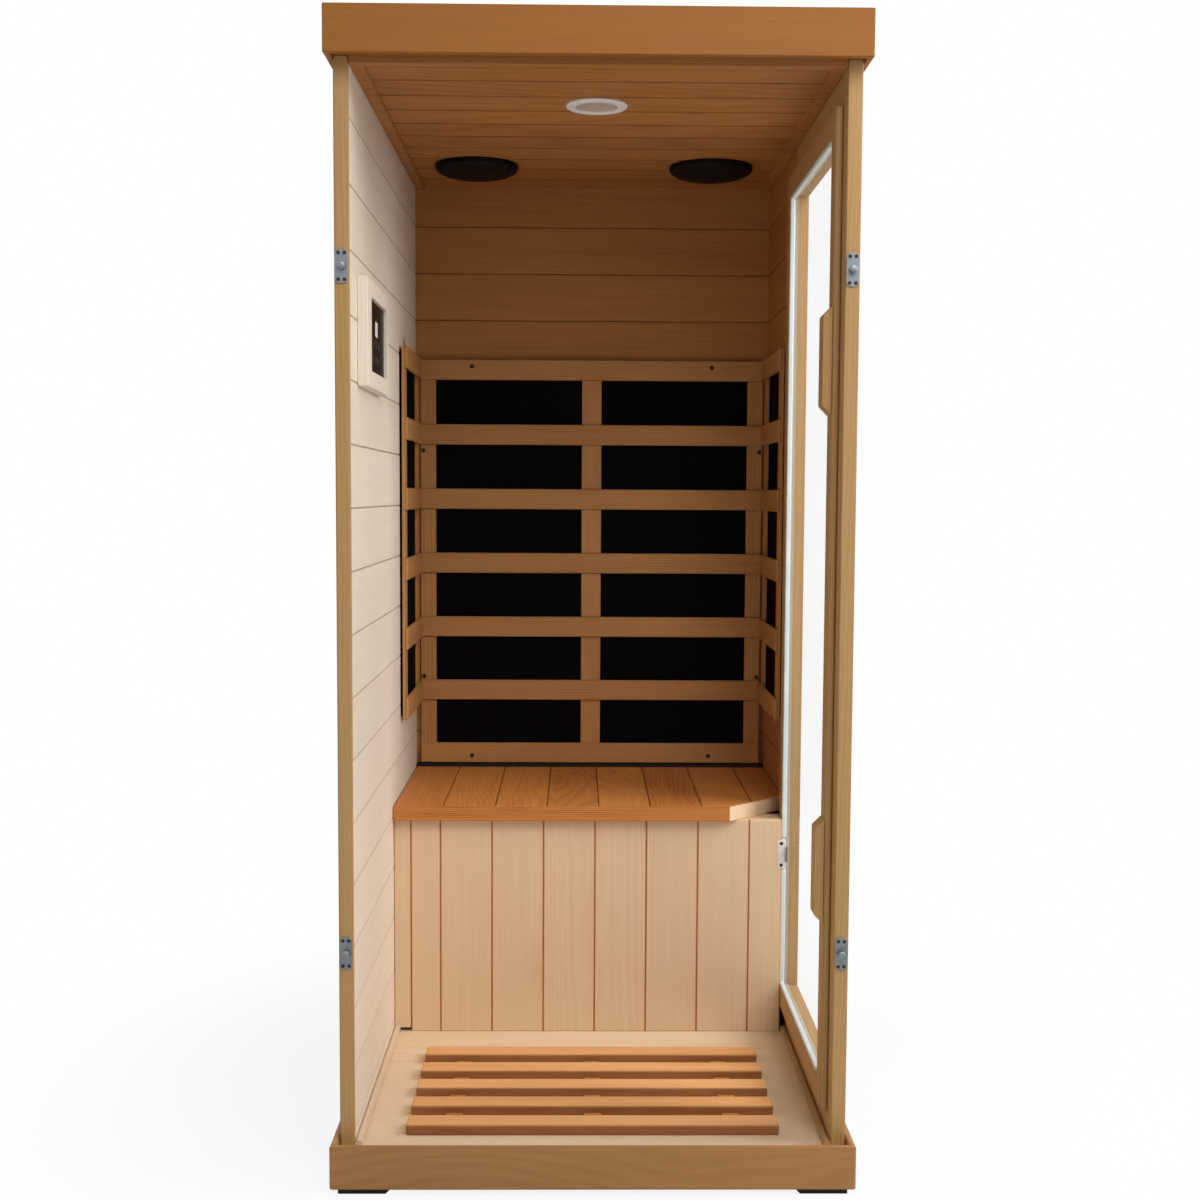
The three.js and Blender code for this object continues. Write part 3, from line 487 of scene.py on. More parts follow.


# Wood finishes, each along the axis that its boards run; one wood in lit and shaded copies: the pale,
# kickboard and floor tones are painted light, the brown, bench and guard tones painted shade
HONEY = (tone(160, 103, 45), tone(125, 74, 29), tone(90, 48, 18))
APRON = (tone(176, 130, 80), tone(142, 98, 56), tone(98, 60, 30))
STILE = (tone(190, 152, 102), tone(150, 110, 64), tone(96, 62, 34))
LIT_PALE = (tone(233, 223, 210), tone(209, 192, 170), tone(146, 104, 70))
SHADED_BROWN = (tone(184, 128, 72), tone(134, 80, 38), tone(70, 34, 14))
SHADED_GUARD = (tone(190, 139, 84), tone(146, 96, 50), tone(84, 46, 20))
SHADED_BENCH = (tone(204, 134, 70), tone(154, 86, 38), tone(84, 42, 18))
LIT_KICK = (tone(230, 203, 170), tone(206, 168, 128), tone(184, 116, 60))
FLOOR = (tone(228, 205, 176), tone(208, 178, 142), tone(156, 110, 72))
SLAT = (tone(232, 176, 118), tone(188, 120, 64), tone(120, 64, 28))
fascia_x = wood("fascia_wood_across", *HONEY, ACROSS, contrast=0.35, knots=0.97)
fascia_y = wood("fascia_wood_deep", *HONEY, DEEP, contrast=0.35, knots=0.97)
apron_x = wood("apron_wood_across", *APRON, ACROSS, contrast=0.4, knots=0.95)
apron_y = wood("apron_wood_deep", *APRON, DEEP, contrast=0.4, knots=0.95)
stile_y = wood("door_wall_wood_deep", *STILE, DEEP, contrast=0.4)
stile_z = wood("door_wall_wood_upright", *STILE, UP, contrast=0.4)
pale_y = wood("left_wall_wood", *LIT_PALE, DEEP, contrast=0.4, variety=0.16, seam_shade=0.38)
pale_z = wood("control_wood", *LIT_PALE, UP, contrast=0.3, variety=0.1, knots=0.99)
brown_x = wood("back_wall_wood", *SHADED_BROWN, ACROSS, contrast=0.5, seam_shade=0.3)
brown_y = wood("side_wall_wood", *SHADED_BROWN, DEEP, contrast=0.5, seam_shade=0.45)
guard_x = wood("guard_wood_across", *SHADED_GUARD, ACROSS, contrast=0.45, knots=0.95)
guard_y = wood("guard_wood_deep", *SHADED_GUARD, DEEP, contrast=0.45, knots=0.95)
guard_z = wood("guard_wood_upright", *SHADED_GUARD, UP, contrast=0.45, knots=0.95)
bench_x = wood("bench_lip_wood", *SHADED_BENCH, ACROSS, ring=4.0 * MM, contrast=1.0)
bench_y = wood("bench_wood", *SHADED_BENCH, DEEP, ring=3.6 * MM, contrast=0.6, variety=0.5, knots=0.9, seam_shade=0.6)
# bench wood given the paler kickboard tones: painted light on the clipped corner
clip_painted_light = wood("bench_clip_wood_painted_light", *LIT_KICK, ACROSS, contrast=0.25, variety=0.1, knots=0.99)
kick_x = wood("kick_rail_wood", *LIT_KICK, ACROSS, contrast=0.35)
kick_z = wood("kickboard_wood", *LIT_KICK, UP, contrast=0.35, variety=0.14, knots=0.93, seam_shade=0.9)
floor_x = wood("floor_wood", *FLOOR, ACROSS, contrast=0.4, variety=0.1, knots=0.95)
floor_y = wood("floor_trim_wood", *FLOOR, DEEP, contrast=0.4, variety=0.1, knots=0.95)
# slats: front and back faces darkened as painted shade
slat_x = wood("slat_wood", *SLAT, ACROSS, contrast=0.7, variety=0.5, knots=0.92, flank=0.75)
# bearers in the shaded brown so the gaps between slats read dark: painted shade
bearer_shaded = wood("bearer_wood_painted_shade", *SHADED_BROWN, DEEP, contrast=0.5)
black_rubber = moulded("foot_rubber", tone(10, 10, 10), rough=0.7, grain=0.3)
white_plastic = moulded("white_plastic", tone(232, 230, 234), rough=0.4, grain=0.1)
seal_rubber = moulded("seal_rubber", tone(216, 228, 230), rough=0.45, grain=0.15)
panel_black = moulded("panel_black", tone(7, 8, 9), rough=0.35, grain=0.08, gloss=0.12)
lens_grey = moulded("lens_frosted", tone(190, 178, 166), rough=0.35, grain=0.3, scale=500.0)
steel = brushed("plated_steel", tone(134, 141, 148), UP, rough=0.42)
screw_steel = brushed("screw_steel", tone(70, 58, 46), ACROSS, rough=0.45)
button_grey = moulded("button_grey", tone(52, 56, 62), rough=0.5, grain=0.1)
heater_black = heater_cloth("heater_cloth")
speaker_black = speaker_mesh("speaker_mesh")
clear_glass = pane("door_pane", node_box("door_glass"))


def repaint(material, *names):
    """Gives CAD nodes a finish of their own."""
    for name in names:
        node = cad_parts[name]
        node.data.materials.clear()
        node.data.materials.append(material)


WELD_REACH, SHARP_ANGLE = 0.01 * MM, math.radians(40.0)


def soften(width, *names):
    """Rounds the sharp edges of CAD nodes: their loose triangles are welded and then bevelled."""
    for name in names:
        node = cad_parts[name]
        weld = node.modifiers.new("weld", "WELD")
        weld.merge_threshold = WELD_REACH
        bevel = node.modifiers.new("round_edges", "BEVEL")
        bevel.width = width
        bevel.segments = 2
        bevel.limit_method = "ANGLE"
        bevel.angle_limit = SHARP_ANGLE
        bevel.harden_normals = True


# Roof, base and door boards
FASCIA_EDGE, APRON_EDGE, STILE_EDGE, JAMB_EDGE = 2.0 * MM, 4.0 * MM, 2.0 * MM, 4.0 * MM
NAME_STEP = 0.77
for name, along, finish, edge in (
    ("roof_fascia_front", ACROSS, fascia_x, FASCIA_EDGE),
    ("roof_fascia_rear", ACROSS, fascia_x, FASCIA_EDGE),
    ("roof_fascia_left", DEEP, fascia_y, FASCIA_EDGE),
    ("roof_fascia_right", DEEP, fascia_y, FASCIA_EDGE),
    ("base_apron_front", ACROSS, apron_x, APRON_EDGE),
    ("base_apron_rear", ACROSS, apron_x, APRON_EDGE),
    ("base_apron_left", DEEP, apron_y, APRON_EDGE),
    ("base_apron_right", DEEP, apron_y, APRON_EDGE),
    ("right_wall_front_stile", UP, stile_z, STILE_EDGE),
    ("right_wall_header", DEEP, stile_y, STILE_EDGE),
    ("right_wall_sill", DEEP, stile_y, STILE_EDGE),
    ("door_frame_front", UP, stile_z, JAMB_EDGE),
    ("door_frame_rear", UP, stile_z, JAMB_EDGE),
    ("door_frame_top", DEEP, stile_y, JAMB_EDGE),
    ("door_frame_bottom", DEEP, stile_y, JAMB_EDGE),
):
    boards(name + "_board", [node_box(name)], along, edge, finish,
           replaced=[name], seed=len(name) * NAME_STEP)
repaint(fascia_x, "roof_deck", "roof_cover", "bench_cleat")

# Walls: planks with eased edges, and a facing strip on each edge that shows
WALL_FIRST_LINE = 94.5 * MM
EDGE_STRIP = 12.0 * MM
PLANK_EDGE = 2.6 * MM
left = node_box("left_wall_panel")
wall_lines = lines_between(left[1, UP] - WALL_FIRST_LINE, left[0, UP], left[1, UP])
strip_y = left[0, DEEP] + EDGE_STRIP
skin_x = left[:, ACROSS].mean()
inner_skin = span(span(left, DEEP, strip_y), ACROSS, skin_x)
outer_skin = span(span(left, DEEP, strip_y), ACROSS, None, skin_x)
# inner face in the lit pale copy, outer face of the same planks in the shaded brown copy: painted light
# and shade
boards("left_wall_planks", split(inner_skin, UP, wall_lines), DEEP, PLANK_EDGE, pale_y,
       replaced=["left_wall_panel"], seed=1.9)
boards("left_wall_outer_planks", split(outer_skin, UP, wall_lines), DEEP, PLANK_EDGE, brown_y, seed=2.7)
boards("left_wall_front_edge", [span(left, DEEP, None, strip_y)], UP, PLANK_EDGE, stile_z, seed=4.2)
back = node_box("back_wall_panel")
boards("back_wall_planks", split(back, UP, wall_lines), ACROSS, PLANK_EDGE, brown_x,
       replaced=["back_wall_panel"], seed=7.7)
rear = node_box("right_wall_rear_panel")
jamb_y = rear[0, DEEP] + EDGE_STRIP
boards("right_wall_planks", split(span(rear, DEEP, jamb_y), UP, wall_lines), DEEP, PLANK_EDGE, brown_y,
       replaced=["right_wall_rear_panel"], seed=11.3)
boards("right_wall_jamb", [span(rear, DEEP, None, jamb_y)], UP, PLANK_EDGE, stile_z, seed=12.6)

# Floor in two boards, feet and the loose grille
FLOOR_SEAM, FLOOR_EDGE = 400.0 * MM, 1.2 * MM
floor = node_box("floor_panel")
boards("floor_boards", split(floor, DEEP, [left[0, DEEP] + FLOOR_SEAM]), ACROSS, FLOOR_EDGE, floor_x,
       replaced=["floor_panel"], seed=2.4)
repaint(black_rubber, "foot_front_left", "foot_front_right", "foot_rear_left", "foot_rear_right")
SLAT_WIDTH, SLAT_PITCH, SLAT_COUNT, SLAT_EDGE = 47.0 * MM, 85.2 * MM, 5, 3.5 * MM
BEARER_WIDTH, BEARER_HEIGHT, BEARER_EDGE = 30.0 * MM, 6.0 * MM, 1.0 * MM
BEARER_SPACING = 240.0 * MM
grille = node_box("floor_grille")
slat_starts = grille[0, DEEP] + SLAT_PITCH * np.arange(SLAT_COUNT)
slats = [span(grille, DEEP, y, y + SLAT_WIDTH) for y in slat_starts]
boards("grille_slats", slats, ACROSS, SLAT_EDGE, slat_x, "grille", ["floor_grille"], seed=5.1)
bearers = []
for x in (-BEARER_SPACING, 0.0, BEARER_SPACING):
    bar = span(grille, ACROSS, x - BEARER_WIDTH / 2.0, x + BEARER_WIDTH / 2.0)
    bar = span(bar, UP, None, grille[0, UP] + BEARER_HEIGHT)
    bearers += [span(bar, DEEP, y + SLAT_WIDTH, y + SLAT_PITCH) for y in slat_starts[:-1]]
boards("grille_bearers", bearers, DEEP, BEARER_EDGE, bearer_shaded, "grille", seed=6.3)

# Ceiling panel keeps its solid, with a plank number from its place
CEILING_TRIM, SIDE_TRIM = 26.0 * MM, 21.0 * MM
# the ceiling's plank lines are painted wide and dark: painted shade of the grooves between planks
CEILING_SEAM_SHADE, CEILING_EDGE = 6.0 * MM, 1.0 * MM
ceiling_half = -left[1, ACROSS] - SIDE_TRIM
ceiling_lines = (DEEP, left[0, DEEP] + CEILING_TRIM, BOARD_PITCH, ceiling_half)
ceiling_wood = wood("ceiling_wood", *SHADED_BROWN, ACROSS, contrast=0.4, seam_shade=0.75, planks=ceiling_lines,
                    seam_shade_width=CEILING_SEAM_SHADE)
repaint(ceiling_wood, "ceiling_panel")
soften(CEILING_EDGE, "ceiling_panel")

# Bench planks, with the corner by the door sheared back along the clip line
LIP = 6.0 * MM
BENCH_EDGE, LIP_EDGE, CLIP_EDGE = 2.2 * MM, 2.0 * MM, 1.5 * MM
STRIP_RISE, STRIP_EDGE = 7.0 * MM, 2.0 * MM
BENCH_FIRST_LINE = 99.0 * MM
CLIP = 119.0 * MM
BENCH_SEED, BENCH_STEP = 8.8, 0.29
bench = node_box("bench_top")
clip_x = bench[1, ACROSS] - CLIP
front_y = bench[0, DEEP]


def clip_corner(points):
    """Moves the front end of each plank back by its distance past the clip line."""
    ahead = points[..., DEEP] < (bench[0, DEEP] + bench[1, DEEP]) / 2.0
    points[..., DEEP] += np.where(ahead, np.maximum(points[..., ACROSS] - clip_x, 0.0), 0.0)
    return points


bench_lines = lines_between(bench[0, ACROSS] + BENCH_FIRST_LINE, bench[0, ACROSS], bench[1, ACROSS])
planks = split(span(bench, DEEP, front_y + LIP), ACROSS, [*bench_lines, clip_x])
plank_numbers = []
for plank in planks:
    lines_before = sum(line < plank[0, ACROSS] + MM for line in bench_lines)
    plank_numbers.append(BENCH_SEED + BENCH_STEP * lines_before)
    if plank[0, ACROSS] == clip_x:
        plank[0, ACROSS] -= 2.0 * BENCH_EDGE
boards("bench_planks", planks, DEEP, BENCH_EDGE, bench_y,
       replaced=["bench_top"], seed=plank_numbers, bend=clip_corner)
lip_box = span(span(bench, DEEP, None, front_y + LIP), ACROSS, None, clip_x)
boards("bench_front_lip", [lip_box], ACROSS, LIP_EDGE, bench_x, seed=9.6)
clip_length = CLIP * math.sqrt(2.0)
clip_box = np.array([[0.0, 0.0, bench[0, UP]], [clip_length, LIP / math.sqrt(2.0), bench[1, UP]]])


def turn_to_clip(points):
    """Turns a board by 45 degrees about the corner where the clip begins."""
    x, y = points[..., ACROSS].copy(), points[..., DEEP].copy()
    points[..., ACROSS] = clip_x + (x - y) * math.sqrt(0.5)
    points[..., DEEP] = front_y + (x + y) * math.sqrt(0.5)
    return points


# the clip lip is painted paler than the bench: painted light
boards("bench_clip_lip", [clip_box], ACROSS, CLIP_EDGE, clip_painted_light, seed=3.7, bend=turn_to_clip)

# Black strip over the gap between the seat and the back wall: painted shade, a dark piece where the gap
# only lies in shadow
strip = np.array([[bench[0, ACROSS], bench[1, DEEP], bench[0, UP]],
                  [bench[1, ACROSS], back[0, DEEP], bench[1, UP] + STRIP_RISE]])
boards("bench_rear_painted_shade_strip", [strip], ACROSS, STRIP_EDGE, black_rubber)

# Kickboard, its rail and its post, each carried on to the wall or frame beside it
KICK_FIRST_LINE, KICK_EDGE = 59.0 * MM, 2.0 * MM
kick = node_box("kickboard")
frame_x = node_box("door_frame_rear")[0, ACROSS]
kick_lines = lines_between(kick[0, ACROSS] + KICK_FIRST_LINE, kick[0, ACROSS], kick[1, ACROSS])
kick_planks = split(span(kick, ACROSS, None, frame_x), ACROSS, kick_lines)
boards("kickboard_planks", kick_planks, UP, PLANK_EDGE, kick_z, replaced=["kickboard"], seed=13.1)
kick_post = span(node_box("kick_post"), ACROSS, left[1, ACROSS])
boards("kick_post_board", [kick_post], UP, KICK_EDGE, kick_z, replaced=["kick_post"], seed=14.9)
kick_rail = span(node_box("kick_rail"), ACROSS, None, frame_x)
boards("kick_rail_board", [kick_rail], ACROSS, KICK_EDGE, kick_x, replaced=["kick_rail"], seed=15.5)

# Heater guards: uprights behind, rails in front, grain along each
GUARD_RAIL_HEIGHT, GUARD_RAIL_PITCH = 45.5 * MM, 143.75 * MM
GUARD_STILE_THICKNESS = 6.0 * MM
BACK_RAILS, SIDE_RAILS = 7, 6
RAIL_EDGE, UPRIGHT_EDGE = 2.0 * MM, 1.2 * MM
# Each upright's two edges, in millimetres from the guard's low end
BACK_UPRIGHTS = [(0.0, 35.0), (362.0, 406.0), (733.0, 768.0)]
SIDE_UPRIGHTS = [(0.0, 45.0), (253.0, 298.0)]


def guard(wall, rail_count, uprights, out_axis, into_cabin, rail_finish):
    """Rails and uprights of one guard; into_cabin is +1 or -1 along out_axis."""
    box = node_box(wall + "_heater_guard")
    wall_side = 0 if into_cabin > 0 else 1
    step = box[wall_side, out_axis] + into_cabin * GUARD_STILE_THICKNESS
    low_part = span(box, out_axis, None, step)
    high_part = span(box, out_axis, step)
    stile_zone, rail_zone = (low_part, high_part) if into_cabin > 0 else (high_part, low_part)
    along = ACROSS if out_axis == DEEP else DEEP
    feet_z = box[0, UP] + GUARD_RAIL_PITCH * np.arange(rail_count)
    rails = [span(rail_zone, UP, z, z + GUARD_RAIL_HEIGHT) for z in feet_z]
    boards(wall + "_guard_rails", rails, along, RAIL_EDGE, rail_finish,
           replaced=[wall + "_heater_guard"], seed=16.2)
    start = box[0, along]
    stiles = [span(stile_zone, along, start + low * MM, start + high * MM) for low, high in uprights]
    boards(wall + "_guard_uprights", stiles, UP, UPRIGHT_EDGE, guard_z, seed=18.4)


guard("back", BACK_RAILS, BACK_UPRIGHTS, DEEP, -1, guard_x)
guard("left", SIDE_RAILS, SIDE_UPRIGHTS, ACROSS, 1, guard_y)
guard("right", SIDE_RAILS, SIDE_UPRIGHTS, ACROSS, -1, guard_y)
repaint(heater_black, "back_heater_panel", "left_heater_panel", "right_heater_panel")

TOWARDS_FRONT, DOWN = (0.0, -1.0, 0.0), (0.0, 0.0, -1.0)
SCREW_OUTLINE = [(1.0, 0.0), (1.0, 0.2), (0.8, 0.45), (0.42, 0.5), (0.36, 0.12), (0.1, 0.1)]
SCREW_STEPS = 20


def screw(name, centre, facing, radius, body="cabin"):
    """A round screw head with a sunk socket, its underside at centre."""
    turned(name, np.array(SCREW_OUTLINE) * radius, centre, facing, SCREW_STEPS, screw_steel, body)


# Screws of the back guard: distance from the middle and height in millimetres, and the face they sit on
GUARD_SCREW_RADIUS = 4.8 * MM
back_guard = node_box("back_heater_guard")
rail_face = back_guard[0, DEEP]
upright_face = back_guard[1, DEEP] - GUARD_STILE_THICKNESS
guard_screws = {
    "top_rail": (268.0, 1428.0, rail_face),
    "foot_rail": (268.0, 552.0, rail_face),
    "upper_upright": (377.0, 1241.0, upright_face),
    "lower_upright": (377.0, 732.0, upright_face),
}
for part, (x, z, y) in guard_screws.items():
    for side, sign in (("left", -1.0), ("right", 1.0)):
        place = (sign * x * MM, y, z * MM)
        screw(f"guard_screw_{part}_{side}", place, TOWARDS_FRONT, GUARD_SCREW_RADIUS)

# Door: hinge blocks, metalwork, glass, catch
BLOCK_EDGE, METAL_EDGE, SEAL_EDGE, CATCH_EDGE = 2.0 * MM, 0.5 * MM, 2.5 * MM, 1.0 * MM
repaint(stile_z, "hinge_block_upper", "hinge_block_lower")
soften(BLOCK_EDGE, "hinge_block_upper", "hinge_block_lower")
metal = [f"hinge_{part}_{level}" for part in ("plate", "clamp", "pin") for level in ("upper", "lower")]
repaint(steel, *metal, "catch_strike")
soften(METAL_EDGE, *metal, "catch_strike")
repaint(clear_glass, "door_glass")
repaint(seal_rubber, "door_seal")
soften(SEAL_EDGE, "door_seal")
repaint(white_plastic, "magnetic_catch")
soften(CATCH_EDGE, "magnetic_catch")
catch = node_box("magnetic_catch")
CATCH_SCREW_INSET, CATCH_SCREW_RADIUS = 7.0 * MM, 3.4 * MM
for end, z in (("upper", catch[1, UP] - CATCH_SCREW_INSET), ("lower", catch[0, UP] + CATCH_SCREW_INSET)):
    place = (catch[:, ACROSS].mean(), catch[0, DEEP], z)
    screw(f"catch_screw_{end}", place, TOWARDS_FRONT, CATCH_SCREW_RADIUS)

CLAMP_SCREW_Z, CLAMP_SCREW_SINK, CLAMP_SCREW_RADIUS = 24.0 * MM, 1.7 * MM, 4.0 * MM
for level in ("upper", "lower"):
    clamp = node_box(f"hinge_clamp_{level}")
    for side, x, facing in (("inner", clamp[0, ACROSS], -1.0), ("outer", clamp[1, ACROSS], 1.0)):
        for k, dz in enumerate((-CLAMP_SCREW_Z, CLAMP_SCREW_Z)):
            place = (x - facing * CLAMP_SCREW_SINK, clamp[:, DEEP].mean(), clamp[:, UP].mean() + dz)
            name = f"clamp_screw_{level}_{side}_{k}"
            screw(name, place, (facing, 0.0, 0.0), CLAMP_SCREW_RADIUS, "door")

# Hook plates: a round-cornered plate, a headed stud (radius and height in millimetres) and four screws
PLATE_THICKNESS, PLATE_CORNER, PLATE_EDGE = 2.5 * MM, 8.0 * MM, 0.7 * MM
PLATE_SCREW_X, PLATE_SCREW_Z, PLATE_SCREW_RADIUS = 5.0 * MM, 21.0 * MM, 2.9 * MM
PLATE_CORNERS = ((-1, -1), (-1, 1), (1, -1), (1, 1))
STUD = [(3.2, 0.0), (3.2, 5.5), (6.0, 6.2), (6.4, 7.2), (6.0, 8.4), (3.0, 9.0), (0.4, 9.0)]
STUD_STEPS = 28
for level in ("upper", "lower"):
    for side in ("left", "right"):
        name = f"hook_plate_{level}_{side}"
        box = node_box(name)
        face_y = box[1, DEEP] - PLATE_THICKNESS
        boards(name + "_sheet", [span(box, DEEP, face_y)], DEEP, PLATE_CORNER, steel,
               replaced=[name], end=PLATE_EDGE)
        middle = box.mean(axis=0)
        middle[DEEP] = face_y
        turned(name + "_stud", np.array(STUD) * MM, middle, TOWARDS_FRONT, STUD_STEPS, steel)
        for k, (x_side, z_side) in enumerate(PLATE_CORNERS):
            place = middle + np.array([x_side * PLATE_SCREW_X, 0.0, z_side * PLATE_SCREW_Z])
            screw(f"{name}_screw_{k}", place, TOWARDS_FRONT, PLATE_SCREW_RADIUS)

# Control box: pale frame, black panel with plain windows and bare buttons
BOX_EDGE, PANEL_EDGE = 2.0 * MM, 0.8 * MM
repaint(pale_z, "control_frame")
soften(BOX_EDGE, "control_frame")
repaint(panel_black, "control_panel")
soften(PANEL_EDGE, "control_panel")
panel = node_box("control_panel")
panel_x = panel[1, ACROSS]
MARK_RISE, MARK_EDGE = 0.6 * MM, 0.3 * MM


def panel_mark(y, z, half_y, half_z):
    """The box of a low raised mark, its middle y and z from the panel's lower front corner."""
    low = (panel_x, panel[0, DEEP] + y - half_y, panel[0, UP] + z - half_z)
    high = (panel_x + MARK_RISE, panel[0, DEEP] + y + half_y, panel[0, UP] + z + half_z)
    return np.array([low, high])


WINDOW_CORNER, WINDOW_HALF = 1.5 * MM, 13.0 * MM
windows = [
    panel_mark(105.0 * MM, 78.0 * MM, 14.0 * MM, WINDOW_HALF),
    panel_mark(8.0 * MM, 84.0 * MM, 5.0 * MM, WINDOW_HALF),
]
boards("control_windows", windows, ACROSS, WINDOW_CORNER, white_plastic, end=MARK_EDGE)
BUTTON_ROWS, BUTTON_COLUMNS = 2, 5
BUTTON_HALF, BUTTON_CORNER = 7.0 * MM, 6.0 * MM
BUTTON_START = np.array([38.0, 24.0]) * MM
BUTTON_PITCH = np.array([34.0, 26.0]) * MM
buttons = []
for row in range(BUTTON_ROWS):
    for column in range(BUTTON_COLUMNS):
        y, z = BUTTON_START + BUTTON_PITCH * (column, row)
        buttons.append(panel_mark(y, z, BUTTON_HALF, BUTTON_HALF))
boards("control_buttons", buttons, ACROSS, BUTTON_CORNER, button_grey, end=MARK_EDGE)

# Ceiling fittings: each loudspeaker gets a rim and a bowl whose section is a quarter of an ellipse
CEILING_THICKNESS, RING_EDGE = 6.0 * MM, 1.0 * MM
repaint(white_plastic, "light_ring")
soften(RING_EDGE, "light_ring")
repaint(lens_grey, "light_lens")
repaint(speaker_black, "speaker_left", "speaker_right")
SPEAKER_RIM = [(60.0, 0.0), (85.0, 0.0), (86.3, 1.3), (86.3, 4.5), (85.3, 5.5), (60.0, 5.5)]
SPEAKER_STEPS = 64
BOWL_RADIUS, BOWL_OPENING = 85.4 * MM, 60.0 * MM
BOWL_TOP, BOWL_WALL, BOWL_DEPTH = 4.0 * MM, 7.5 * MM, 22.0 * MM
BOWL_LAST_ANGLE, BOWL_RINGS = 88.0, 24
bowl_turn = np.radians(np.linspace(0.0, BOWL_LAST_ANGLE, BOWL_RINGS))
bowl_radii = BOWL_RADIUS * np.cos(bowl_turn)
bowl_heights = BOWL_WALL + BOWL_DEPTH * np.sin(bowl_turn)
bowl_top = [(BOWL_OPENING, BOWL_TOP), (BOWL_RADIUS, BOWL_TOP)]
bowl_profile = np.vstack([bowl_top, np.stack([bowl_radii, bowl_heights], axis=1)])
for side in ("left", "right"):
    place = node_box(f"speaker_{side}").mean(axis=0)
    place[UP] = node_box("ceiling_panel")[1, UP] - CEILING_THICKNESS
    turned(f"speaker_rim_{side}", np.array(SPEAKER_RIM) * MM, place, DOWN, SPEAKER_STEPS, panel_black)
    turned(f"speaker_bowl_{side}", bowl_profile, place, DOWN, SPEAKER_STEPS, speaker_black)

# Thin trims where the floor meets the side walls
TRIM, TRIM_EDGE, TRIM_END = 12.0 * MM, 5.0 * MM, 1.0 * MM
floor_top = floor[1, UP]
left_x, right_x = left[1, ACROSS], -left[1, ACROSS]
left_trim = np.array([[left_x, left[0, DEEP], floor_top],
                      [left_x + TRIM, kick[0, DEEP], floor_top + TRIM]])
boards("floor_trim_left", [left_trim], DEEP, TRIM_EDGE, floor_y, seed=20.1, end=TRIM_END)
# the right trim in the darker stile wood: painted shade along the foot of the right wall
shaded_right_trim = np.array([[right_x - TRIM, left[0, DEEP], floor_top],
                       [right_x, kick[0, DEEP], floor_top + TRIM]])
boards("floor_trim_right_painted_shade", [shaded_right_trim], DEEP, TRIM_EDGE, stile_y, seed=21.4, end=TRIM_END)

# Floor, light and background
FLOOR_REACH, FLOOR_DROP = 9.0, 0.3 * MM
FLOOR_CORNERS = ((-1, -1), (1, -1), (1, 1), (-1, 1))
floor_mesh = bpy.data.meshes.new("studio_floor")
floor_points = [(x * FLOOR_REACH, y * FLOOR_REACH, -FLOOR_DROP) for x, y in FLOOR_CORNERS]
floor_mesh.from_pydata(floor_points, [], [(0, 1, 2, 3)])
studio_floor = bpy.data.objects.new("studio_floor", floor_mesh)
bpy.context.scene.collection.objects.link(studio_floor)
floor_material, fin = new_material("studio_floor")
spot = fin.place()[1]
away = (spot[ACROSS] ** 2.0 + spot[DEEP] ** 2.0).root()
ray = fin.node("ShaderNodeLightPath", None, None, "Is Camera Ray")
FLOOR_GREY, NEAR, FAR, NEAR_WHITE = 0.86, 0.55, 1.3, 0.86
WHITE = (1.0, 1.0, 1.0, 1.0)
matt = fin.node("ShaderNodeBsdfDiffuse", None, {"Color": (FLOOR_GREY, FLOOR_GREY, FLOOR_GREY, 1.0)})
white = fin.node("ShaderNodeEmission", None, {"Color": WHITE, "Strength": 1.0})
fade = away.smooth(NEAR, FAR) * (1.0 - NEAR_WHITE) + NEAR_WHITE
mixed = fin.node("ShaderNodeMixShader", None, {0: ray * fade, 1: matt, 2: white})
fin.node("ShaderNodeOutputMaterial", None, {"Surface": mixed})
floor_mesh.materials.append(floor_material)

world = bpy.data.worlds.new("studio")
bpy.context.scene.world = world
world.use_nodes = True
sky = Finish(world.node_tree)
path = sky.node("ShaderNodeLightPath", None, None, "Is Camera Ray")
glossy = Wire(sky, path.socket.node.outputs["Is Glossy Ray"])
through = Wire(sky, path.socket.node.outputs["Is Transmission Ray"])
seen = path.larger(glossy).larger(through)
SKY_TONE, SKY_STRENGTH = (1.0, 0.985, 0.96, 1.0), 0.36
soft = sky.node("ShaderNodeBackground", None, {"Color": SKY_TONE, "Strength": SKY_STRENGTH})
bright = sky.node("ShaderNodeBackground", None, {"Color": WHITE, "Strength": 1.0})
shown = sky.node("ShaderNodeMixShader", None, {0: seen, 1: soft, 2: bright})
sky.node("ShaderNodeOutputWorld", None, {"Surface": shown})


def stand(right, above, behind, place):
    """The pose whose x, y and z axes and origin are the four given vectors."""
    pose = np.eye(4)
    pose[:3] = np.stack([right, above, behind, place], axis=1)
    return Matrix(pose.tolist())


LAMP_TONE = (1.0, 0.97, 0.93)


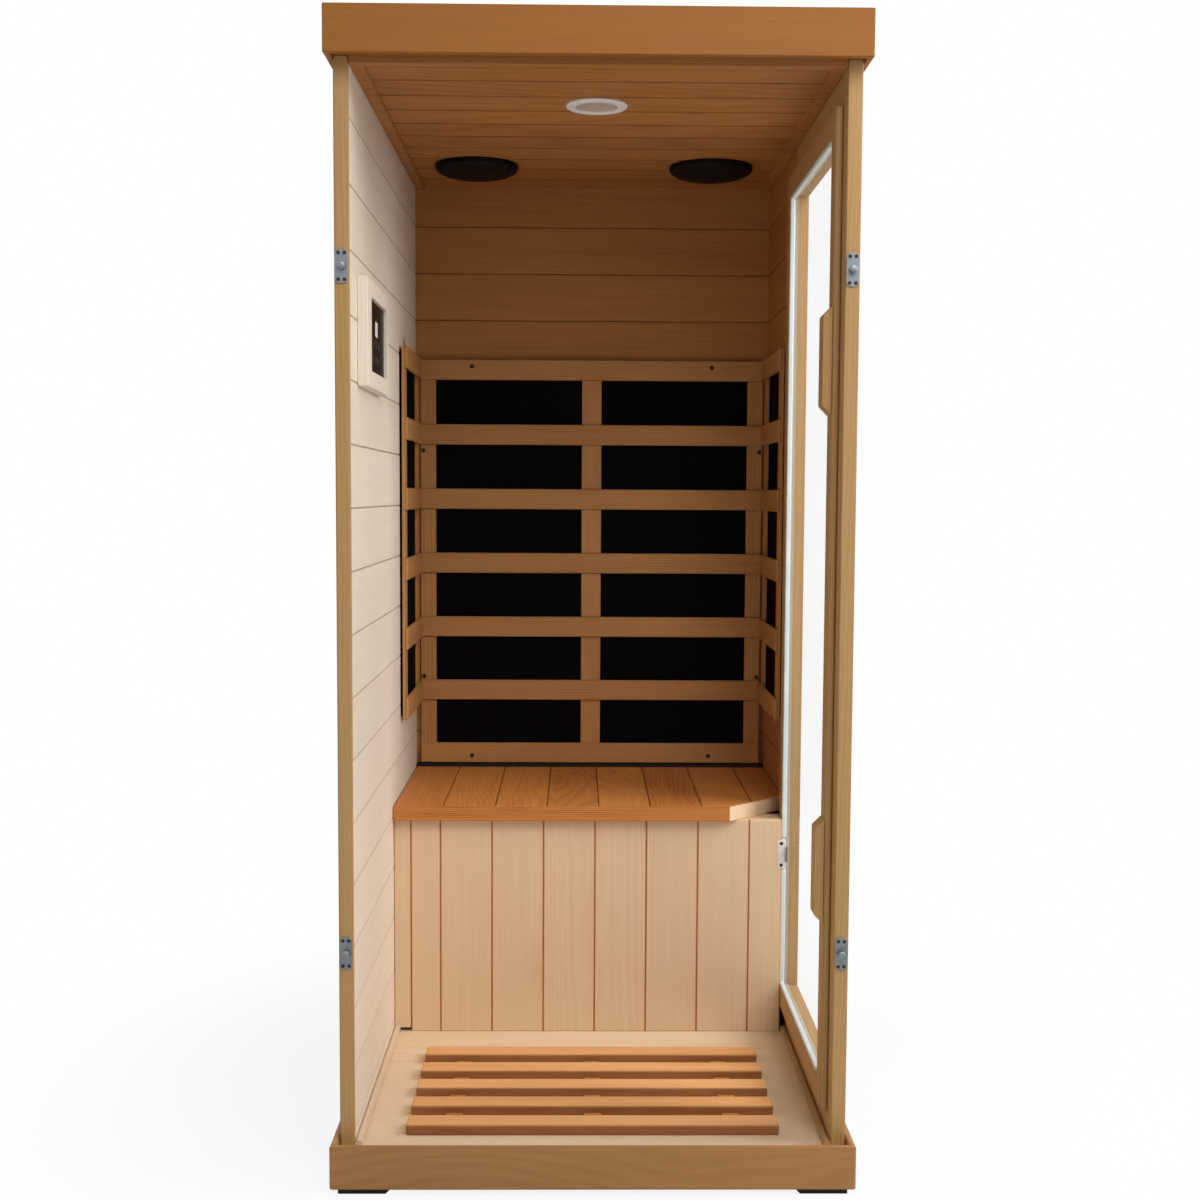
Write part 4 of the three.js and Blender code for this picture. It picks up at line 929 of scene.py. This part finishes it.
def softbox(name, place, target, size, power):
    """A square area light turned towards a target."""
    light = bpy.data.lights.new(name, "AREA")
    light.size = size
    light.energy = power
    light.color = LAMP_TONE
    lamp = bpy.data.objects.new(name, light)
    aim = np.array(target) - np.array(place)
    aim /= np.linalg.norm(aim)
    right = np.cross(aim, [0.0, 0.0, 1.0])
    right /= np.linalg.norm(right)
    above = np.cross(right, aim)
    lamp.matrix_world = stand(right, above, -aim, place)
    bpy.context.scene.collection.objects.link(lamp)


softbox("key_front_right", place=(0.95, -2.5, 3.2), target=(0.0, 0.0, 0.6), size=1.5, power=45.0)
softbox("door_side", place=(2.1, -0.5, 2.0), target=(0.0, -0.1, 0.5), size=1.4, power=48.0)
softbox("back_fill", place=(-2.4, 2.6, 2.4), target=(0.0, 0.3, 0.9), size=2.0, power=45.0)

# Camera solved from the photograph: focal length and principal point in pixels of its 1200 px frame
IMAGE_SIZE, SENSOR_MM = 1200.0, 36.0
FOCAL_PX = 1595.76
PRINCIPAL_PX = (599.84, 616.26)
EYE = (-0.02855, -3.09161, 1.14390)
YAW, PITCH, ROLL = -0.0136, -0.0760, -0.0054


def turn_about(axis, angle):
    """The turn by an angle about one axis: the next two axes turn into each other."""
    first, second = (axis + 1) % 3, (axis + 2) % 3
    turn = np.eye(3)
    turn[first, first] = turn[second, second] = math.cos(angle)
    turn[second, first] = math.sin(angle)
    turn[first, second] = -math.sin(angle)
    return turn


aim = turn_about(UP, YAW) @ turn_about(ACROSS, PITCH) @ turn_about(DEEP, ROLL)
lens = bpy.data.cameras.new("camera")
lens.sensor_width = SENSOR_MM
lens.lens = FOCAL_PX * SENSOR_MM / IMAGE_SIZE
lens.shift_x = (IMAGE_SIZE / 2.0 - PRINCIPAL_PX[0]) / IMAGE_SIZE
lens.shift_y = (PRINCIPAL_PX[1] - IMAGE_SIZE / 2.0) / IMAGE_SIZE
camera = bpy.data.objects.new("camera", lens)
camera.matrix_world = stand(aim[:, 0], aim[:, 2], -aim[:, 1], EYE)
bpy.context.scene.collection.objects.link(camera)
bpy.context.scene.camera = camera
bpy.context.scene.view_settings.view_transform = "Standard"
